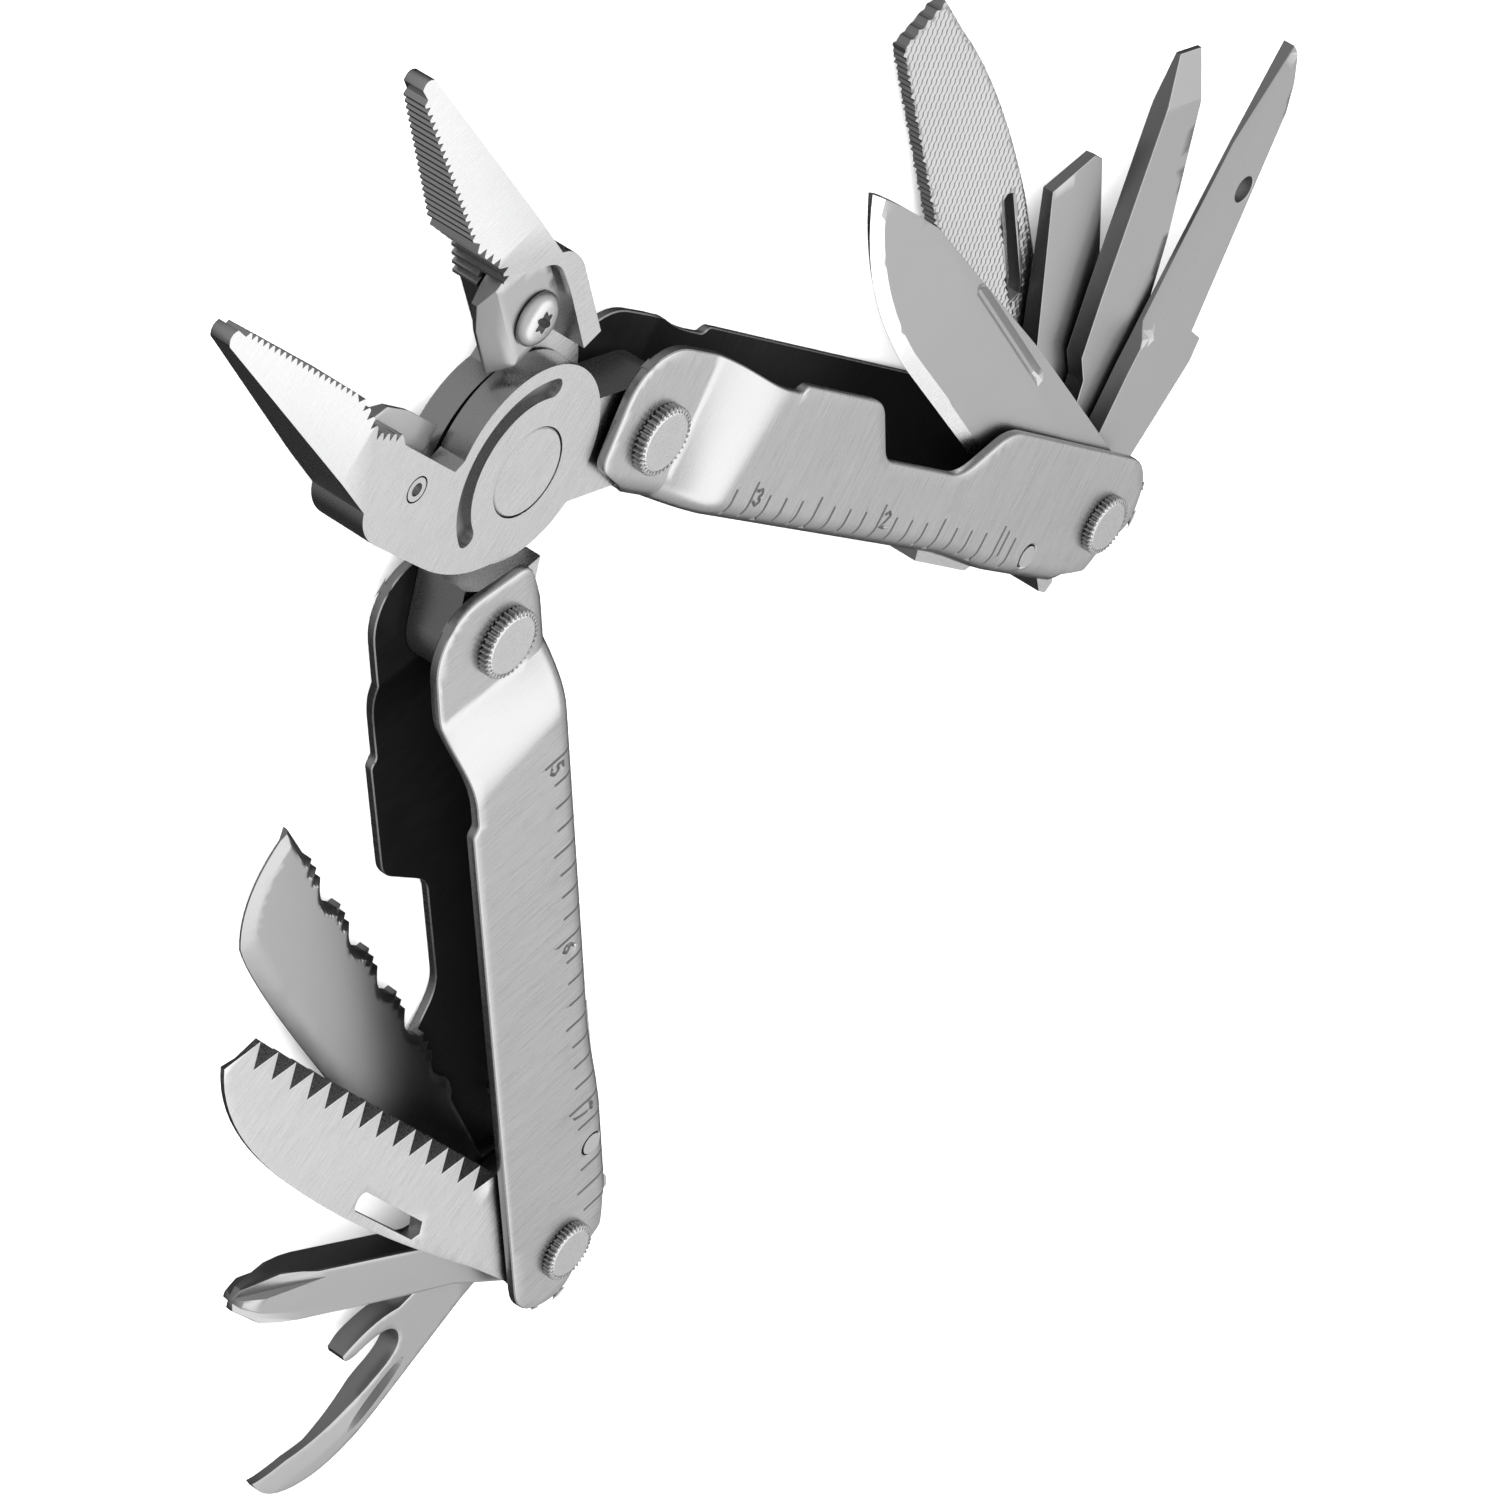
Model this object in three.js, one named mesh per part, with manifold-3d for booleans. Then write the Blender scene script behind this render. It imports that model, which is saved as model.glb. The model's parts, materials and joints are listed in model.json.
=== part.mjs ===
// Folding pocket multi tool: pliers between two channel handles, nine folding tools.
// Units are millimetres. The tools and jaws turn in planes parallel to XY, every pivot
// is parallel to Z, and the closed pliers point along +Y. The model has a half turn of
// symmetry about the Y axis in its jaws and handles, so half a tool is made, then turned.
import * as THREE from 'three';
import { mergeVertices } from 'three/addons/utils/BufferGeometryUtils.js';
import Module from 'manifold-3d';

const wasm = await Module();
wasm.setup();

// ---------------------------------------------------------------- driving dimensions
const gap = 0.3;                   // running clearance between pieces
const jawHalf = 3.0;               // half thickness of the jaws
const jawOpening = 14;             // degrees each jaw stands away from the closed line
const jawLength = 51;              // pliers pivot to jaw tip
const lapRadius = 12;              // half-lap joint round the pliers pivot
const tangReach = 17.03;           // pliers pivot to handle pivot
const tangAngle = 118.6;           // handle pivot, degrees from the +X axis, jaws closed
const handleTurn = 112.6;          // handle direction at rest, degrees below +X
const toolSpan = 87;               // handle pivot to tool pivot
const toolOffset = -0.4;           // tool pivot across the handle
const sheet = 1.0;                 // thickness of the channel's steel sheet
const channelHalf = 6.7;           // half thickness of the channel
const neckHalf = 4.3;              // half thickness of the channel at the handle pivot
const webOuter = 6.4;              // web's outer face across the handle
const webBulge = 7.3;              // web's outer face beside the lock lever
const toolShaft = 2.0;             // radius of the tool bolt's shank
const tangShaft = 2.2;             // radius of the handle bolt's shank
const leverPin = { x: 75.2, y: 4.5, r: 1.2 };
const cutterScrew = { x: 5.6, y: 15.4, shank: 1.2, head: 2.6 };
const rivet = { head: 4.4, shank: 3.0, depth: 1.1 };
const outerLane = [3.65, 5.35];    // the large blades run beside the walls
const rad = THREE.MathUtils.degToRad;

// ------------------------------------------------------------------- solid modelling
function toSolid(geometry) {
  const bare = geometry.index ? geometry.toNonIndexed() : geometry.clone();
  for (const name of Object.keys(bare.attributes)) {
    if (name !== 'position') bare.deleteAttribute(name);
  }
  const merged = mergeVertices(bare, 1e-4);
  return new wasm.Manifold(new wasm.Mesh({
    numProp: 3,
    vertProperties: Float32Array.from(merged.attributes.position.array),
    triVerts: Uint32Array.from(merged.index.array),
  }));
}

function toGeometry(solid) {
  const mesh = solid.getMesh();
  const geometry = new THREE.BufferGeometry();
  geometry.setAttribute('position', new THREE.BufferAttribute(mesh.vertProperties, 3));
  geometry.setIndex(new THREE.BufferAttribute(mesh.triVerts, 1));
  geometry.computeVertexNormals();
  return geometry;
}

function outline(points) {
  return new THREE.Shape(points.map(([x, y]) => new THREE.Vector2(x, y)));
}

// A plate parallel to XY between two heights.
function plate(shape, low, high, curveSegments = 8) {
  const geometry = new THREE.ExtrudeGeometry(shape, {
    depth: high - low, bevelEnabled: false, curveSegments,
  });
  geometry.translate(0, 0, low);
  return toSolid(geometry);
}

// A prism whose (x, z) outline is swept along Y from one place to another.
function prismAlongY(points, from, to) {
  const geometry = new THREE.ExtrudeGeometry(outline(points), {
    depth: to - from, bevelEnabled: false,
  });
  geometry.rotateX(Math.PI / 2);
  geometry.translate(0, to, 0);
  return toSolid(geometry);
}

// A prism whose (y, z) outline is swept along X from one place to another.
function prismAlongX(points, from, to) {
  const geometry = new THREE.ExtrudeGeometry(outline(points), {
    depth: to - from, bevelEnabled: false,
  });
  geometry.applyMatrix4(new THREE.Matrix4().makeBasis(
    new THREE.Vector3(0, 1, 0), new THREE.Vector3(0, 0, 1), new THREE.Vector3(1, 0, 0)));
  geometry.translate(from, 0, 0);
  return toSolid(geometry);
}

// An upright cylinder between two heights.
function post(x, y, radius, low, high, segments = 32) {
  const geometry = new THREE.CylinderGeometry(radius, radius, high - low, segments);
  geometry.rotateX(Math.PI / 2);
  geometry.translate(x, y, (low + high) / 2);
  return toSolid(geometry);
}

function box(x0, x1, y0, y1, z0, z1) {
  const geometry = new THREE.BoxGeometry(x1 - x0, y1 - y0, z1 - z0);
  geometry.translate((x0 + x1) / 2, (y0 + y1) / 2, (z0 + z1) / 2);
  return toSolid(geometry);
}

const finishes = {
  brushed: { color: 0xc9cacc, metalness: 0.9, roughness: 0.35 },
  satin: { color: 0x9a9b9d, metalness: 0.9, roughness: 0.45 },
  dark: { color: 0x4c4d50, metalness: 0.8, roughness: 0.5 },
};

function piece(name, solid, finish) {
  const mesh = new THREE.Mesh(toGeometry(solid),
    new THREE.MeshStandardMaterial(finishes[finish]));
  mesh.name = name;
  return mesh;
}

// ------------------------------------------------------------------------ plier jaws
// The right-hand jaw with the pliers closed: its nose points along +Y, its grip lies just
// right of the Y axis, and its half of the lap joint is the rear one (below z = 0).
const tangX = -tangReach * Math.cos(rad(180 - tangAngle));
const tangY = -tangReach * Math.sin(rad(180 - tangAngle));

function jawOutline() {
  const shape = new THREE.Shape();
  shape.moveTo(0.35, jawLength - 0.4);
  shape.quadraticCurveTo(1.0, jawLength + 0.5, 1.9, jawLength - 0.6);
  shape.lineTo(9.4, 21.2);
  shape.quadraticCurveTo(11.3, 20.0, 11.5, 17.2);
  shape.lineTo(11.6, 7.6);
  shape.quadraticCurveTo(11.6, 1.0, 8.2, -3.2);
  shape.lineTo(0, -3.2);
  shape.lineTo(0, 10);
  shape.lineTo(2.8, 11.2);
  shape.lineTo(2.8, 21.4);
  shape.quadraticCurveTo(3.6, 25.6, 0.7, 31);
  return shape;
}

function makeJaw() {
  const body = plate(jawOutline(), -jawHalf, jawHalf);
  const taper = prismAlongX([
    [-8, -jawHalf], [27, -jawHalf], [jawLength + 2, -0.9], [jawLength + 2, 0.9],
    [27, jawHalf], [-8, jawHalf],
  ], -4, 16);
  const disc = post(-0.5, 1.0, 9.9, -jawHalf, -gap / 2, 56);
  const side = new THREE.Vector2(-tangY, tangX).setLength(5.2);
  const neck = plate(outline([
    [side.x, side.y], [-side.x, -side.y], [tangX - side.x, tangY - side.y],
    [tangX + side.x, tangY + side.y],
  ]), -jawHalf + gap, jawHalf - gap).add(post(tangX, tangY, 5.2, -jawHalf + gap, jawHalf - gap, 40));
  const lap = post(0, 0, lapRadius, -gap / 2, jawHalf + 1, 56);
  const pocket = plate(outline([[-6, 0], [-6, 24.2], [3.4, 24.2], [8.9, 20.4], [9.3, 16], [9.3, 0]]),
    -gap / 2, jawHalf + 1);
  const rimEnd = box(8, 13, -6, 7.9, -gap / 2, jawHalf + 1);
  return body.intersect(taper).subtract(pocket).subtract(rimEnd).add(disc).add(neck)
    .subtract(lap)
    .subtract(post(0, 0, rivet.shank + gap, -jawHalf - 1, jawHalf))
    .subtract(post(0, 0, rivet.head + gap, -jawHalf - 1, -jawHalf + rivet.depth + gap))
    .subtract(post(cutterScrew.x, cutterScrew.y, cutterScrew.shank + gap, -jawHalf - 1, 1, 20))
    .subtract(post(tangX, tangY, tangShaft + gap, -jawHalf, jawHalf));
}

// Wire cutter insert: a block with a shallow V edge, in the pocket of the jaw.
function makeCutter() {
  const low = gap / 2;
  const high = 1.9;
  const block = plate(outline([
    [-0.5, 12.6], [1.0, 12.3], [7.0, 12.3], [9.0, 14.2], [8.6, 19.9], [3.6, 23.2], [-0.5, 22.2],
    [1.4, 17.4],
  ]), low, high);
  return block.subtract(post(cutterScrew.x, cutterScrew.y, cutterScrew.shank + gap, low - 1, 3, 20));
}

function makeCutterScrew() {
  return post(cutterScrew.x, cutterScrew.y, cutterScrew.shank, -jawHalf, 2.4, 20)
    .add(post(cutterScrew.x, cutterScrew.y, cutterScrew.head, 2.2, jawHalf, 28))
    .subtract(post(cutterScrew.x, cutterScrew.y, 0.9, 2.55, 4, 6));
}

function makeRivet() {
  return post(0, 0, rivet.shank, -jawHalf + 0.4, jawHalf - 0.4)
    .add(post(0, 0, rivet.head, jawHalf - rivet.depth, jawHalf, 40))
    .add(post(0, 0, rivet.head, -jawHalf, -jawHalf + rivet.depth, 40));
}

// --------------------------------------------------------------------- handle channel
// Handle frame: origin at the handle pivot, +X towards the tool end, +Y towards the web.
// The front wall (z > 0) has a straight open edge, the rear one a finger notch.
const slopeStart = 4.0;
const slopeEnd = 11.2;
const handleStart = -7.6;
const handleEnd = 93.2;

function channelSection(inset) {
  const wide = channelHalf - inset;
  const narrow = neckHalf - inset;
  const half = [[handleStart - 1, narrow], [slopeStart, narrow], [slopeEnd, wide], [handleEnd + 1, wide]];
  return [...half, ...half.map(([x, z]) => [x, -z]).reverse()];
}

function wallOutline(notched) {
  const shape = new THREE.Shape();
  shape.moveTo(handleStart, -4.6);
  shape.quadraticCurveTo(handleStart, -8.4, -3.6, -8.6);
  shape.lineTo(4.6, -8.6);
  shape.lineTo(12.5, -7.6);
  if (notched) {
    shape.lineTo(33.1, -7.6);
    shape.lineTo(38.3, -2.4);
    shape.lineTo(54.7, -2.4);
    shape.lineTo(60.4, -7.6);
  }
  shape.lineTo(88.2, -7.4);
  shape.quadraticCurveTo(92.6, -7.0, handleEnd, -2.0);
  shape.lineTo(handleEnd, -0.6);
  shape.lineTo(87.0, 7.3);
  shape.lineTo(2.0, 7.3);
  shape.lineTo(-1.6, 6.3);
  shape.lineTo(-6.4, 4.9);
  return shape;
}

function makeChannel() {
  const deep = webBulge + 2;
  const outerFaces = prismAlongY(channelSection(0), -12, deep);
  const innerFaces = prismAlongY(channelSection(sheet), -14, deep + 2);
  // the web follows a line that steps out beside the lock lever
  const webLine = [[2.0, webOuter], [58, webOuter], [70, webBulge], [86, webBulge]];
  const outside = plate(outline([[-9, -14], [96, -14], [96, webBulge], ...webLine.slice().reverse(),
    [-9, webOuter]]), -9, 9);
  const inside = plate(outline([[-9, -15], [97, -15], [97, webBulge - sheet],
    ...webLine.map(([x, y]) => [x, y - sheet]).reverse(), [2.0, 12], [-9, 12]]), -9, 9);
  const walls = plate(wallOutline(false), 0, 9).add(plate(wallOutline(true), -9, 0));
  const round = 2.4;
  const corner = [];
  for (let i = 0; i <= 6; i += 1) {
    const turn = (i / 6) * Math.PI / 2;
    corner.push([webBulge - round + round * Math.cos(turn), channelHalf - round + round * Math.sin(turn)]);
  }
  const rounded = prismAlongX([...corner, [-14, channelHalf], [-14, -channelHalf],
    ...corner.map(([y, z]) => [y, -z]).reverse()], -12, 96);
  const window = box(56.8, 97, 0, 12, -4.5, 4.5);
  const channel = outerFaces.intersect(outside).intersect(rounded).intersect(walls)
    .subtract(innerFaces.intersect(inside))
    .subtract(window)
    .subtract(box(84.5, 97, webOuter - 0.4, 12, -9, 9));
  return channel
    .subtract(post(0, 0, tangShaft + gap, -9, 9))
    .subtract(post(toolSpan, toolOffset, toolShaft + gap, -9, 9))
    .subtract(post(leverPin.x, leverPin.y, leverPin.r + gap, -9, 9, 20));
}

// Headed bolt and its cap nut; both heads stand on the outside of the walls.
function makeBolt(x, y, shank, head, wall, rise) {
  return post(x, y, shank, -wall + 0.2, wall + 0.4)
    .add(post(x, y, head, wall + 0.25, wall + rise, 40));
}

function makeNut(x, y, head, wall, rise) {
  return post(x, y, head, -wall - rise, -wall - 0.25, 40);
}

// Rocker lock lever in the web, with a thumb pad and a hook over the tools' tangs.
function makeLever() {
  const shape = outline([
    [57.6, 6.3], [58.2, 7.7], [69.0, 7.9], [70.2, 7.1], [84.6, 7.3], [86.6, 8.8], [88.0, 8.8],
    [88.4, 7.6], [87.6, 6.5], [83.6, 6.3], [77.3, 6.0], [77.3, 4.5], [73.1, 4.5], [73.1, 6.0],
    [70, 6.2],
  ]);
  return plate(shape, -4.2, 4.2)
    .add(post(leverPin.x, leverPin.y, 2.1, -4.2, 4.2))
    .subtract(post(leverPin.x, leverPin.y, leverPin.r + gap, -9, 9, 20));
}

function makeLeverSpring() {
  return plate(outline([[46, 4.75], [56, 4.75], [66.5, 4.95], [66.5, 5.2], [56, 5.05], [46, 5.05]]), -2.5, 2.5);
}

// ------------------------------------------------------------------------------ tools
// Tool frame: origin on the tool bolt, +X towards the tip, +Y the side that leads as the
// tool unfolds (the spine of a blade), so cutting edges are on -Y.
const tangRadius = 6.0;

function makeTool(shape, low, high, holes = []) {
  for (const hole of holes) shape.holes.push(new THREE.Path(hole.map(([x, y]) => new THREE.Vector2(x, y))));
  return plate(shape, low, high)
    .add(post(0, 0, tangRadius, low, high, 40))
    .subtract(post(0, 0, toolShaft + gap, low - 1, high + 1));
}

function serratedKnife() {
  const shape = new THREE.Shape();
  shape.moveTo(2, -1.6);
  shape.lineTo(19, -1.6);
  shape.lineTo(21, -2.6);
  shape.lineTo(76.3, 0);
  shape.quadraticCurveTo(75.0, 7.4, 68.6, 9.8);
  shape.quadraticCurveTo(64.0, 10.6, 45.0, 9.0);
  shape.lineTo(4, 5.2);
  return makeTool(shape, -outerLane[1], -outerLane[0]);
}

function saw() {
  const shape = new THREE.Shape();
  shape.moveTo(2, -1.6);
  shape.lineTo(17, -1.6);
  const toothStart = 19;
  const toothEnd = 73.5;
  const teeth = 14;
  const pitch = (toothEnd - toothStart) / teeth;
  const base = (x) => -2.0 + (x - toothStart) * 0.045;
  for (let i = 0; i < teeth; i += 1) {
    const x = toothStart + i * pitch;
    shape.lineTo(x, base(x));
    shape.lineTo(x + pitch * 0.55, base(x) + 2.3);
  }
  shape.lineTo(toothEnd, base(toothEnd));
  shape.lineTo(76.2, 4.2);
  shape.quadraticCurveTo(71, 8.6, 58, 9.4);
  shape.quadraticCurveTo(40, 10.4, 4, 5.4);
  return makeTool(shape, outerLane[0], outerLane[1],
    [[[25.7, 6.0], [25.7, 7.8], [40.4, 8.1], [40.4, 6.6]]]);
}

function phillipsDriver() {
  const half = 1.95;
  const low = -0.6;
  const high = low + 2 * half;
  const shaft = plate(outline([[2, -2.2], [15, -2.2], [19, -3.4], [39.5, -3.4], [45.8, -0.9], [47.6, 0],
    [45.8, 0.9], [39.5, 3.4], [12, 4.4], [2, 4.9]]), low, high);
  const crossTip = prismAlongX([[-4, low], [6, low], [6, high], [-4, high]], -8, 40)
    .add(prismAlongY([[40, low], [47.6, low + half - 0.3], [47.6, low + half + 0.3], [40, high], [39, high],
      [39, low]], -6, 6));
  return shaft.intersect(crossTip)
    .add(post(0, 0, tangRadius, low, high, 40))
    .subtract(post(0, 0, toolShaft + gap, low - 1, high + 1));
}

function canOpener() {
  const shape = new THREE.Shape();
  shape.moveTo(2, -1.5);
  shape.lineTo(16.5, -1.5);
  shape.quadraticCurveTo(21.5, -2.4, 21.6, -0.4);
  shape.lineTo(20.6, 0.4);
  shape.quadraticCurveTo(18.4, 2.6, 21.0, 4.6);
  shape.quadraticCurveTo(27.0, 6.4, 33.0, 4.2);
  shape.lineTo(37.3, 3.0);
  shape.quadraticCurveTo(37.0, 7.2, 32.0, 9.5);
  shape.quadraticCurveTo(27.0, 11.8, 20.0, 9.8);
  shape.lineTo(4, 5.4);
  return makeTool(shape, -3.3, -0.95);
}

function straightKnife() {
  const shape = new THREE.Shape();
  shape.moveTo(2, -1.6);
  shape.lineTo(25.5, -1.6);
  shape.lineTo(29.0, -6.6);
  shape.lineTo(51, -7.0);
  shape.quadraticCurveTo(66.0, -6.6, 76.2, 0.0);
  shape.quadraticCurveTo(72.0, 1.6, 62.9, 3.4);
  shape.lineTo(31.2, 5.3);
  shape.lineTo(3.0, 5.9);
  return makeTool(shape, -outerLane[1], -outerLane[0]);
}

function flatFile() {
  const shape = new THREE.Shape();
  shape.moveTo(2, -1.6);
  shape.lineTo(16, -1.6);
  shape.lineTo(20, -5.4);
  shape.lineTo(73.2, -5.6);
  shape.lineTo(74.0, -0.2);
  shape.lineTo(68.0, 2.4);
  shape.quadraticCurveTo(56.0, 6.4, 38.0, 7.0);
  shape.lineTo(20, 6.7);
  shape.lineTo(3, 5.9);
  return makeTool(shape, outerLane[0], outerLane[1],
    [[[25.9, 2.6], [25.9, 4.2], [40.8, 5.4], [40.8, 3.8]]]);
}

function smallDriver() {
  return makeTool(outline([[2, -2.2], [15, -2.2], [18, -3.6], [39.3, -3.6], [40.2, 3.0], [39.2, 4.2],
    [20.8, 6.2], [3, 5.8]]), 1.1, 3.3);
}

function largeDriver() {
  return makeTool(outline([[2, -2.2], [14, -2.2], [17, -3.9], [24, -3.6], [50.2, -1.7], [50.2, 2.0],
    [44.1, 4.0], [28.3, 5.8], [20, 6.1], [3, 5.8]]), -1.2, 0.75);
}

function awl() {
  const eye = [];
  for (let i = 0; i < 12; i += 1) {
    const turn = (i / 12) * Math.PI * 2;
    eye.push([35.8 + 1.5 * Math.cos(turn), 3.3 + 1.5 * Math.sin(turn)]);
  }
  return makeTool(outline([[2, -2.2], [15, -2.2], [28, -1.4], [40, -0.2], [51, 0], [50.5, 0.9], [44.5, 5.0],
    [20.2, 7.0], [19.6, 9.4], [17.0, 9.6], [5.5, 6.6], [3, 5.6]]), -3.3, -1.55, [eye]);
}

// --------------------------------------------------------------------------- assembly
// Each entry: node name, shape, angle from lying along the handle at rest, finish.
const toolSets = {
  left: [
    ['serrated_knife', serratedKnife, 15.4, 'satin'],
    ['can_opener', canOpener, 95.9, 'satin'],
    ['phillips_driver', phillipsDriver, 52.5, 'satin'],
    ['saw', saw, 28.0, 'brushed'],
  ],
  right: [
    ['straight_knife', straightKnife, 20.1, 'satin'],
    ['awl', awl, 87.1, 'satin'],
    ['large_driver', largeDriver, 69.5, 'satin'],
    ['small_driver', smallDriver, 53.4, 'dark'],
    ['flat_file', flatFile, 35.6, 'satin'],
  ],
};

function halfTool(side, jawName) {
  const half = new THREE.Group();

  const jaw = new THREE.Group();
  jaw.rotation.z = rad(-jawOpening);
  jaw.add(piece(jawName, makeJaw(), 'brushed'));
  jaw.add(piece(`${jawName}_cutter`, makeCutter(), 'satin'));
  jaw.add(piece(`${jawName}_cutter_screw`, makeCutterScrew(), 'satin'));
  half.add(jaw);

  const handle = new THREE.Group();
  handle.position.set(tangX, tangY, 0).applyAxisAngle(new THREE.Vector3(0, 0, 1), rad(-jawOpening));
  handle.rotation.z = rad(-handleTurn);
  handle.add(piece(`${side}_channel`, makeChannel(), 'brushed'));
  handle.add(piece(`${side}_handle_bolt`, makeBolt(0, 0, tangShaft, 3.5, neckHalf, 1.15), 'satin'));
  handle.add(piece(`${side}_handle_nut`, makeNut(0, 0, 3.5, neckHalf, 1.15), 'satin'));
  handle.add(piece(`${side}_tool_bolt`,
    makeBolt(toolSpan, toolOffset, toolShaft, 3.2, channelHalf, 1.0), 'satin'));
  handle.add(piece(`${side}_tool_nut`, makeNut(toolSpan, toolOffset, 3.2, channelHalf, 1.0), 'satin'));
  handle.add(piece(`${side}_lock_lever`, makeLever(), 'satin'));
  handle.add(piece(`${side}_lever_pin`,
    post(leverPin.x, leverPin.y, leverPin.r, -channelHalf, channelHalf, 20), 'satin'));
  handle.add(piece(`${side}_lever_spring`, makeLeverSpring(), 'dark'));

  for (const [name, shape, angle, finish] of toolSets[side]) {
    const tool = piece(name, shape(), finish);
    tool.position.set(toolSpan, toolOffset, 0);
    tool.rotation.z = rad(180 + angle);
    handle.add(tool);
  }
  half.add(handle);
  return half;
}

const model = new THREE.Group();
model.add(piece('plier_rivet', makeRivet(), 'brushed'));
model.add(halfTool('left', 'rear_jaw'));
const turned = halfTool('right', 'front_jaw');
turned.rotation.y = Math.PI;
model.add(turned);

// The origin is under the middle of the whole model, at the level it lies on.
model.updateMatrixWorld(true);
const bounds = new THREE.Box3().setFromObject(model, true);
const middle = bounds.getCenter(new THREE.Vector3());
model.position.set(-middle.x, -middle.y, -bounds.min.z);

export default model;
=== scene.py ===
"""Looks of the folding multi tool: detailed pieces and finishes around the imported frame.

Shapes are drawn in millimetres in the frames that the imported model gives: a jaw frame at the
pliers pivot, a handle frame at each handle pivot and a tool frame at each tool pivot.
"""
import json
import math

import bpy
import numpy as np
from mathutils import Matrix, Vector
from mathutils.geometry import delaunay_2d_cdt


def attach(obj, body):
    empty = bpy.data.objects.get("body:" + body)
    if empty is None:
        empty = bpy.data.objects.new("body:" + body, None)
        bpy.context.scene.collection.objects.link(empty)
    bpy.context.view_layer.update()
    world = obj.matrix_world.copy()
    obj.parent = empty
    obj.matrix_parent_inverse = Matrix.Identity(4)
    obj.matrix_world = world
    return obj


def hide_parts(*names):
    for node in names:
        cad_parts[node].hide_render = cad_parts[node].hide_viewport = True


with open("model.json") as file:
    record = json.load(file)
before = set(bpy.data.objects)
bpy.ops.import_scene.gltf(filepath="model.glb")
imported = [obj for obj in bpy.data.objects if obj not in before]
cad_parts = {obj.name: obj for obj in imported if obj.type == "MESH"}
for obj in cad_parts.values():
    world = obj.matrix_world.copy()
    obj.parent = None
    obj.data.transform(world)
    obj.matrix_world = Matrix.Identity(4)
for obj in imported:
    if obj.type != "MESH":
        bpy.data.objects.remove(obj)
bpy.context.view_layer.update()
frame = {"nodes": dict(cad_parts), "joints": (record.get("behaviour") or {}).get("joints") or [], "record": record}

MM = 0.001
DRAWN = "drawn_place"      # mesh attribute: where a vertex lies in the frame it was drawn in
JOINTS = {joint["name"]: joint for joint in frame["joints"]}
BODY_OF = {node: body for body, nodes in frame["record"]["behaviour"]["bodies"].items() for node in nodes}


# ---- frames of the tool
TOOL_SPAN = 87.0          # handle pivot to tool pivot, along the handle
TOOL_OFFSET = -0.4        # and across it
PLIER_PIVOT = Vector(JOINTS["pliers_open"]["pos_m"])
HALF_TURN = Matrix.Rotation(math.pi, 4, "Y")
FACE_DOWN = Matrix.Rotation(math.pi, 4, "X")


def turned(place, degrees):
    return Matrix.Translation(place) @ Matrix.Rotation(math.radians(degrees), 4, "Z")


def half_frame(side):
    """The left half is drawn; the right half is the same half turned about the Y axis."""
    start = Matrix.Translation(PLIER_PIVOT)
    return start if side == "left" else start @ HALF_TURN


def jaw_frame(side):
    opening = -JOINTS["pliers_open"]["range_deg"][0] / 2
    return half_frame(side) @ turned((0, 0, 0), -opening)


def local_pivot(side, joint):
    """A joint's place in the drawn half, in metres from the pliers pivot."""
    return half_frame(side).inverted() @ Vector(JOINTS[joint]["pos_m"])


def handle_frame(side):
    pivot = local_pivot(side, f"{side}_handle_fold")
    any_tool = "saw_open" if side == "left" else "awl_open"
    along = local_pivot(side, any_tool) - pivot
    turn = math.degrees(math.atan2(along.y, along.x) - math.atan2(TOOL_OFFSET, TOOL_SPAN))
    return half_frame(side) @ turned(pivot, turn)


def tool_frame(side, name):
    """Origin on the tool bolt, +X towards the tip, cutting edges on -Y."""
    rest = 180 - JOINTS[f"{name}_open"]["range_deg"][1]
    start = Vector((TOOL_SPAN, TOOL_OFFSET, 0)) * MM
    return handle_frame(side) @ turned(start, 180 + rest)


# ---- flat drawing
def rounded(points, steps=5):
    """A closed outline from (x, y) or (x, y, r) corners, each rounded from r before it."""
    corners = [Vector(point[:2]) for point in points]
    path = []
    for i, point in enumerate(points):
        corner = corners[i]
        if len(point) == 2:
            path.append(corner)
            continue
        before = corner + (corners[i - 1] - corner).normalized() * point[2]
        after = corner + (corners[(i + 1) % len(corners)] - corner).normalized() * point[2]
        for k in range(steps + 1):
            t = k / steps
            path.append(before * (1 - t) ** 2 + corner * 2 * t * (1 - t) + after * t * t)
    return np.array([(p.x, p.y) for p in path])


def arc(x, y, radius, start, end, steps=24):
    turns = np.radians(np.linspace(start, end, steps + 1))
    return np.column_stack([x + radius * np.cos(turns), y + radius * np.sin(turns)])


def circle(x, y, radius, steps=40):
    """A round hole, clockwise, so that the material is on its left."""
    return arc(x, y, radius, 360, 0, steps)[:-1]


def bend(start, middle, end, steps=10):
    """A curve from start to end that heads for middle first, without its start point."""
    t = np.linspace(0, 1, steps + 1)[1:, None]
    start, middle, end = np.array(start), np.array(middle), np.array(end)
    return start * (1 - t) ** 2 + middle * 2 * t * (1 - t) + end * t * t


def subdivide(loop, step):
    pieces = []
    for a, b in zip(loop, np.roll(loop, -1, axis=0)):
        count = max(1, math.ceil(np.linalg.norm(b - a) / step))
        pieces.append(a + (b - a) * np.arange(count)[:, None] / count)
    return np.vstack(pieces)


def unit(vectors):
    return vectors / np.maximum(np.linalg.norm(vectors, axis=1), 1e-9)[:, None]


def inset(loop, amount):
    """The loop moved into the material, which is on its left."""
    if amount == 0:
        return loop
    along = unit(loop - np.roll(loop, 1, axis=0))
    ahead = np.roll(along, -1, axis=0)
    left = np.column_stack([-along[:, 1], along[:, 0]])
    left_ahead = np.column_stack([-ahead[:, 1], ahead[:, 0]])
    middle = unit(left + left_ahead)
    stretch = np.maximum((middle * left).sum(axis=1), 0.45)
    return loop + middle * (amount / stretch)[:, None]


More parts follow.
